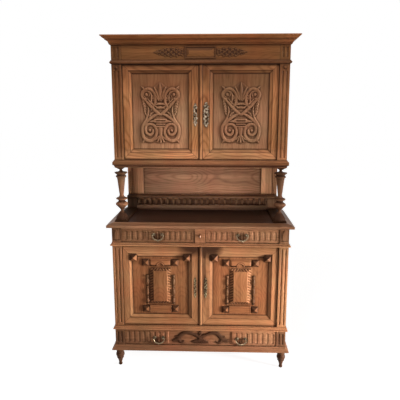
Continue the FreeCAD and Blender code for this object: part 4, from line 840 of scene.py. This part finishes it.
def friezeCarvings():
    look = friezeLook
    lo, hi = nodeFrame("frieze_ornaments")
    middle, front = (lo[2] + hi[2]) / 2, nodeFrame("frieze")[0][1]
    tablet = steppedBlock(0.0, middle, look.half, (hi[2] - lo[2]) / 2, front, look.steps)
    piece("frieze_tablet", [tablet], "carcass", "frieze", "frieze_ornaments", sharp=8, grime=facetShadeList(look.soot),
          domain="FACE")

    # sprays: half balls with notches and a pointed tip, their ground hidden behind the frieze's face
    patches, dirtAndShadeParts = [], []
    near, far = look.half + look.gap, look.half + look.gap + look.length
    z = evenly(middle - look.width / 2, middle + look.width / 2, look.step)
    at, long, wide, edge = look.lens
    for s in both:
        x = evenly(*sorted((s * near, s * far)), look.step)
        gx, gz = np.meshgrid((np.abs(x) - near) / mm, (z - middle) / mm)
        lens = np.clip((1 - np.abs((gx - at) / long) ** 3) * wide - np.abs(gz), 0, edge) / edge
        height = look.groundRise * lens
        for lx, lz, r in look.lumps:
            q = np.hypot(gx - lx, (gz - lz) * 1.1) / (r * look.spread)
            notch = np.cos(3 * np.arctan2(gz - lz, gx - lx)) * unit(q * 1.5)
            ball = dome(q) * (0.75 + 0.25 * notch)
            height = np.maximum(height, look.rise * ball)
        carve(height, gx * mm, gz * mm, [look.tip], look.rise)
        # soiling and painted shade in the hollows over a darkening of the whole spray; ridges lighter by wear and
        # painted highlight
        grime = np.clip(0.58 + 1.5 * cavities(height, *look.hollow), -0.4, 1)
        sheet = np.where(height > look.hidden, front - softly(height, 0.6), front + look.hidden)
        patch, dirt = reliefSheet(x, z, sheet, front + 2 * look.hidden, grime)
        patches.append(patch)
        dirtAndShadeParts.append(dirt)
    piece("frieze_sprays", patches, "carcass", "friezeCarving", sharp=60, grime=np.concatenate(dirtAndShadeParts))


friezeCarvings()
print("frieze carved")


# drawer fronts: flutes, and in the base drawer a sunk carved middle between them

frontLook = Look(
    step=0.0016, face=-0.236, thick=0.022, pitch=0.036, fluteHalf=0.01, fluteDepth=0.0024, fluteEnd=0.014,
    dotHalf=0.0035, dotDepth=0.0016, dotEnd=0.018,
    recess=0.222, depth=0.006, margin=0.007, recessEdge=0.004, rise=0.0062, hollow=(4.5, 0.003), raised=0.002,
    garland=[
        ("round", 0, (6, 9, 12, 12, 13, 15, 15, 9), [
            (24, 66), (54, 79), (81, 88), (107, 86), (130, 73), (146, 55), (159, 37), (186, 28)]),
        ("round", 0, (7, 9, 8, 5), [(153, 43), (141, 22), (125, 17), (113, 25)]),
        ("leaf", 2, (8, 10, 4), [(146, 54), (160, 57), (172, 60)]),
        ("leaf", 3, (5, 12, 10, 13, 11), [(0, 105), (0, 70), (0, 36)]),
        ("round", 0, (9, 8, 4), [(0, 58), (16, 66), (32, 76)]),
        ("round", 0, (9, 8, 5), [(0, 54), (18, 60), (34, 67)]),
        ("leaf", 4, (20, 18, 13, 4), [(0, 27), (20, 25), (36, 23), (56, 20)])])


def fluteField(across, gz, tall, start, stop):
    # row of round-ended hollows, depth a half circle of the distance to each middle line; edges darkened as painted
    # shade, middles lightened as painted light
    look = frontLook
    count = int((stop - start) / look.pitch)
    u = (across - (start + stop) / 2) / look.pitch + (count - 1) / 2
    dx = (u - np.clip(np.round(u), 0, count - 1)) * look.pitch
    low, high = look.fluteEnd + look.fluteHalf, tall - look.fluteEnd - look.fluteHalf
    q = np.hypot(dx, gz - np.clip(gz, low, high)) / look.fluteHalf
    dot = np.hypot(dx, gz - (tall - look.dotEnd)) / look.dotHalf
    height = -look.fluteDepth * dome(q) - look.dotDepth * unit(1 - dot ** 2)
    return height, 0.6 * hump((q - 1.0) / 0.24) - 0.45 * unit(1 - q ** 2)


def drawerFront(name):
    # height field: flutes; in the base drawer they end at a recess, with garland strands on its ground
    look = frontLook
    lo, hi = nodeFrame(f"{name}_drawer_front")
    x, z = (evenly(lo[k], hi[k], look.step) for k in (0, 2))
    gx, gz = np.meshgrid(x, z - lo[2])
    tall = hi[2] - lo[2]
    if name == "base":
        gx = np.abs(gx)
        height, lines = fluteField(gx, gz, tall, look.recess, x[-1])
        inside = np.minimum.reduce([look.recess - gx, gz - look.margin, tall - look.margin - gz])
        outer = gx > look.recess
        height = np.where(outer, height, 0) - look.depth * unit(inside / look.recessEdge)
        carving = np.zeros_like(gx)
        carve(carving, gx, gz, look.garland, look.rise)
        # soiling and painted shade in the garland's hollows, the raised garland darkened all over
        hollow = np.maximum(cavities(carving, *look.hollow), 0)
        grime = np.where(outer, lines, unit(hollow + unit(carving / look.raised)))
        surface = softly(height, 0.5) + np.where(inside > 0, softly(carving, 0.6), 0)
    else:
        height, grime = fluteField(gx, gz, tall, x[0], x[-1])
        surface = softly(height, 0.5)
    front = look.face - np.minimum(surface, 0.0004)
    patch, dirt = reliefSheet(x, z, front, look.face + look.thick, grime)
    body, finish = f"{name}_drawer", "baseDrawer" if name == "base" else "drawer"
    piece(body + "_carved_front", [patch], body, finish, body + "_front", sharp=50, grime=dirt)


for name in ("base", "left", "right"):
    drawerFront(name)
print("drawer fronts carved")


# columns: turned shaft that widens upwards between rings, a square cap under the upper body

columnLook = Look(
    reach=0.043, cap=0.016, neck=0.009, capHalf=0.0315,
    # (radius, height) or an arc through the first pair: from the foot up, then from the cap down, in millimetres
    foot=[(0, 0), (41, 0), (41, 10), (24, 36, 9, 57), (8, 60), (20, 76, 40, 97), (39, 108, 25, 119), (22, 124),
          (25, 130, 37, 136), (37, 143), (30, 147), (19, 153, 14, 166)],
    head=[(27, -56), (35, -50), (35, -42), (28, -37, 35, -28), (42, -24), (42, -18), (20, -14, 9, -6), (9, 0), (0, 0)],
    # painted shade on the foot up to a height, over so much; soiling and painted shade in the turned grooves, height
    # and reach
    footDirt=(58, 16), rings=[(76, 13), (124, 8), (148, 6), (273, 5), (296, 6), (318, 8)])


def columns():
    look, patches = columnLook, []
    lo, hi = nodeFrame("columns")
    top = (hi[2] - lo[2] - look.cap) / mm
    head = [tuple(v + top if k % 2 else v for k, v in enumerate(row)) for row in look.head]
    diagonal = math.sqrt(2)
    cap = [(0, 0), (look.neck * diagonal, 0), (look.capHalf * diagonal, look.cap), (0, look.cap)]
    y = (lo[1] + hi[1]) / 2
    for x in (lo[0] + look.reach, hi[0] - look.reach):
        patches.append(turned(metres(look.foot + head), (x, y, lo[2])))
        patches.append(turned(cap, (x, y, hi[2] - look.cap), "z", 4, (math.pi / 4, math.pi * 9 / 4)))
    above = (np.concatenate([points[:, 2] for points, *_ in patches]) - lo[2]) / mm
    # painted shade on the foot, soiling and painted shade in the turned grooves
    level, over = look.footDirt
    dirt = 1.15 * unit((level - above) / over)
    for at, reach in look.rings:
        dirt = np.maximum(dirt, 0.85 * hump((above - at) / reach))
    piece("columns_turned", patches, "carcass", "turning", "columns", sharp=35, grime=dirt)


columns()
print("columns turned")


# end blocks of the gallery, which carry its shelf over the side bars to the edges of the niche

endLook = Look(shelf=0.018, inset=0.012, margin=0.002, arcPoints=9)


def galleryEnds():
    # outline in the yz plane, the shelf's front edge a half circle, carried along x
    look, patches = endLook, []
    lo, hi = nodeFrame("gallery_rails")
    bar, outer = nodeFrame("column_plinths")[1][2], nodeFrame("niche_back_frame")[1][0] - look.margin
    r, face = look.shelf / 2, lo[1] + look.inset
    a = np.radians(np.linspace(90, -90, look.arcPoints))
    nose = np.stack([lo[1] + r - r * np.cos(a), hi[2] - r + r * np.sin(a)], -1)
    outline = np.vstack([[(face, bar), (hi[1], bar), (hi[1], hi[2])], nose, [(face, hi[2] - look.shelf)]])
    n = len(outline)
    for s in both:
        rings = [np.column_stack([np.full(n, s * x), outline]) for x in (hi[0], outer)]
        patches.append((np.vstack(rings), gridFaces(2, n, closeCols=True), np.arange(2 * n).reshape(2, n)))
    piece("gallery_ends", patches, "carcass", "galleryEnd", sharp=35)


galleryEnds()
print("gallery ends set")


# pulls: bails that thicken to a point at the bottom, rosettes and eyes

pullLook = Look(
    spread=0.028, radius=0.038, rod=0.0027, belly=0.0026, pin=0.0018, pinGap=0.0001, eye=0.006, face=-0.236,
    reach=0.013,
    # changes of the rod's radius: at the bottom, to both sides of it, at the ends; amount, distance, reach along it
    bead=(0.0012, 0.0, 0.018), waist=(-0.0014, 0.045, 0.014), ends=(0.0011, 0.03),
    drop=[(0.0, 0.0), (3.0, -0.5), (3.4, -3.0, 1.6, -5.6), (0.0, -7.2)], dropTop=0.0022,
    rosette=[(0, 0), (11, 0), (11, 1.2), (10.2, 2.2, 8.6, 2.2), (7.8, 1.8), (6.4, 3.6, 4.4, 4.2), (4, 9.2), (0, 9.2)])


def bail(tag, x, z):
    # half ring whose rod swells towards the bottom, a bead and a drop there, pins into the eyes
    look = pullLook
    y = look.face - look.reach
    t = np.linspace(0, 1, 97)
    a = math.pi * (1 + t)
    swell = look.rod + look.belly * np.sin(math.pi * t) ** 1.5
    for amount, distance, reach in (look.bead, look.waist):
        swell = swell + amount * hump((np.abs(t - 0.5) - distance) / reach)
    amount, reach = look.ends
    swell = swell + amount * hump(np.minimum(t, 1 - t) / reach)
    path = np.stack([x + look.radius * np.cos(a), np.full_like(t, y), z + look.radius * np.sin(a)], -1)
    patches = [rod(path, swell), turned(metres(look.drop), (x, y, z - look.radius - look.dropTop), "z", 20)]
    for s in both:
        across = x + s * np.linspace(look.radius, look.spread - 0.005, 5)
        patches.append(rod(np.stack([across, np.full(5, y), np.full(5, z)], -1), np.full(5, look.pin), 16))
    piece(f"{tag}_bail_cast", patches, f"{tag}_bail", "brass", f"{tag}_bail", slot="antique_brass")


def mounts(tag, centres, z):
    # two rosettes on each pull, their stems and the ring-shaped eyes round the bail's pins
    look, patches = pullLook, []
    y = look.face - look.reach
    a = np.linspace(0, 2 * math.pi, 24, endpoint=False)
    u, v = np.meshgrid(a, a, indexing="ij")
    hole = look.pin + look.pinGap
    big, small = (look.eye + hole) / 2, (look.eye - hole) / 2
    away = big + small * np.cos(v)
    for x in centres:
        for at in (x - look.spread, x + look.spread):
            patches.append(turned(metres(look.rosette), (at, look.face, z), "y", 40))
            ring = np.stack([at + small * np.sin(v), y + away * np.cos(u), z + away * np.sin(u)], -1)
            patches.append((ring.reshape(-1, 3), gridFaces(24, 24, True, True)))
    body = f"{tag}_drawer"
    piece(f"{tag}_pull_rosettes", patches, body, "brass", body + "_pull_mounts", slot="antique_brass")


pulls = dict(left=(0.97, dict(left=-0.281)), right=(0.97, dict(right=0.281)),
             base=(0.226, dict(base_left=-0.286, base_right=0.286)))
for drawer, (height, places) in pulls.items():
    mounts(drawer, places.values(), height)
    for tag, x in places.items():
        bail(tag, x, height)
print("pulls cast")


# key plates: two cast strands twisted round each other, bosses at the crossings, at the ends and at the strands' outer
# bends

plateLook = Look(
    # length, swing, strand's radius, boss's radius
    sizes=dict(upper_left=(0.146, 0.01, 0.0046, 0.0058), upper_right=(0.158, 0.0148, 0.0056, 0.0068),
               lower_left=(0.145, 0.0075, 0.0019, 0.0034), lower_right=(0.145, 0.0085, 0.0021, 0.0036)),
    turns=2.75, flat=0.42, deep=0.001, lift=0.0012, uneven=0.16,
    ball=[(0.0, -1.0), (0.707, -0.707, 1.0, 0.0), (0.707, 0.707, 0.0, 1.0)])


def keyPlate(row, side):
    # strand: sideways sine whose swing fades to both ends, flattened against the door
    look, node = plateLook, f"{row}_{side}_escutcheon"
    lo, hi = nodeFrame(node)
    cx, cz, back = (lo[0] + hi[0]) / 2, (lo[2] + hi[2]) / 2, hi[1]
    length, swing, thick, boss = look.sizes[f"{row}_{side}"]
    run = length - 2 * boss
    t = np.linspace(0, 1, 181)
    fade = 0.3 + 0.7 * np.sin(math.pi * t) ** 0.7
    wave = np.sin(2 * math.pi * look.turns * (t - 0.5) + math.pi / 2)
    patches = []
    for s in both:
        uneven = 1 + look.uneven * np.sin(11 * t + s + cx * 40)  # hand-cut swing and thickness
        across = cx + s * swing * fade * wave * np.minimum(uneven, 1.0)
        path = np.stack([across, np.zeros_like(t), cz + (t - 0.5) * run], -1)
        patches.append(rod(path, thick * uneven * (0.8 + 0.35 * np.abs(wave)), 14))
    quarter = 0.25 / look.turns
    spots = [(cx, cz + s * k * quarter * run, boss * 0.9) for s in both for k in (1, 3, 5)]
    spots += [(cx, cz + s * (length / 2 - boss), boss) for s in both]
    spots += [(cx + s * swing * 0.98, cz + k * quarter * run, boss * 0.6) for s in both for k in (-4, -2, 0, 2, 4)]
    for bx, bz, r in spots:
        ball = [tuple(v * r for v in corner) for corner in look.ball]
        patches.append(turned(ball, (bx, 0.0, bz), "y", 20))
    for points, *_ in patches:
        points[:, 1] = back - look.lift + np.clip(points[:, 1] * look.flat, -1, look.deep)
    piece(node + "_cast", patches, f"{row}_{side}_door", row + "Plate", node, slot="antique_brass", sharp=50)


for row in ("upper", "lower"):
    for side in ("left", "right"):
        keyPlate(row, side)

# painted highlight: a pale bead on the muntin's boss stands in for the glint on it
bead, beadLevel = [(0.0, -4.0), (3.4, -3.0, 5.0, 0.0), (3.6, 3.4, 0.0, 4.8)], 0.961
railFace = nodeFrame("lower_front_rails")[0][1]
piece("muntin_glint_bead", [turned(metres(bead), (0.0, railFace, beadLevel), "y", 24)], "carcass", "glintBead")
print("key plates cast")


# stage: floor, world, lamps, camera

stageLook = Look(
    floorHalf=30.0, floor=(0.85, 0.84, 0.82, 1.0), seenFloor=(0.5, 0.5, 0.5, 1.0), glow=0.89,
    fill=0.22, fillTone=(1.0, 0.99, 0.98, 1.0),
    # power, place, aim, breadth, height, beam in degrees
    lamps=dict(side=(11.0, (2.2, -0.9, 0.45), (-0.1, -0.22, 0.52), 0.35, 0.7, 50),
               sideUp=(3.6, (2.2, -0.95, 1.95), (-0.1, -0.19, 1.75), 0.35, 0.7, 50),
               front=(0.72, (-0.25, -3.0, 1.3), (-0.04, 0.24, 1.21), 0.9, 0.1, 12),
               top=(27.0, (-0.25, -1.3, 3.4), (0.0, -0.2, 1.6), 0.8, 0.4, 180)),
    camera=(0.098, -3.159, 1.77), turn=(79.09, 0.0, 1.92), sensor=36.0, focalPixels=454.2, picturePixels=400)


def seenOrLit(add, calc, lit, seen):
    # one shader for the light that surfaces get, another for what the camera and mirrors see
    ray = add("LightPath").node.outputs
    direct = calc("MAXIMUM", ray["Is Camera Ray"], ray["Is Glossy Ray"])
    direct = calc("MAXIMUM", direct, ray["Is Transmission Ray"])
    return add("MixShader", {0: direct, 1: lit, 2: seen})


def stageSet():
    look, half = stageLook, stageLook.floorHalf
    corners = np.array([[-half, -half, 0], [half, -half, 0], [half, half, 0], [-half, half, 0]])
    floor = addObject("floor", layMesh("floor", [(corners, np.array([[0, 1, 2, 3]]))]))
    mat, add, calc = blankMaterial("paleFloor")
    pale = add("BsdfDiffuse", {"Color": look.floor})
    thin = add("BsdfDiffuse", {"Color": look.seenFloor})
    glow = add("Emission", {"Color": (1, 1, 1, 1), "Strength": look.glow})
    shown = add("AddShader", {0: thin, 1: glow})
    add("OutputMaterial", {0: seenOrLit(add, calc, pale, shown)})
    floor.data.materials.append(mat)

    world = bpy.data.worlds.new("studio")
    world.use_nodes = True
    world.node_tree.nodes.clear()
    add, calc = nodeMaker(world.node_tree)
    fill = add("Background", {"Color": look.fillTone, "Strength": look.fill})
    white = add("Background", {"Color": (1, 1, 1, 1), "Strength": 1.0})
    add("OutputWorld", {0: seenOrLit(add, calc, fill, white)})
    bpy.context.scene.world = world

    for name, (power, place, aim, wide, tall, beam) in look.lamps.items():
        lamp = bpy.data.lights.new(name, "AREA")
        lamp.energy, lamp.shape, lamp.size, lamp.size_y = power, "RECTANGLE", wide, tall
        lamp.spread = math.radians(beam)
        stand = addObject(name, lamp)
        way = np.array(aim) - np.array(place)
        stand.location = place
        stand.rotation_euler = (math.atan2(math.hypot(way[0], way[1]), -way[2]), 0, math.atan2(-way[0], way[1]))

    lens = bpy.data.cameras.new("camera")
    lens.sensor_width, lens.lens = look.sensor, look.sensor * look.focalPixels / look.picturePixels
    camera = addObject("camera", lens)
    camera.location = look.camera
    camera.rotation_euler = [math.radians(v) for v in look.turn]
    bpy.context.scene.camera = camera
    bpy.context.scene.view_settings.view_transform = "Standard"


stageSet()
print("stage set")
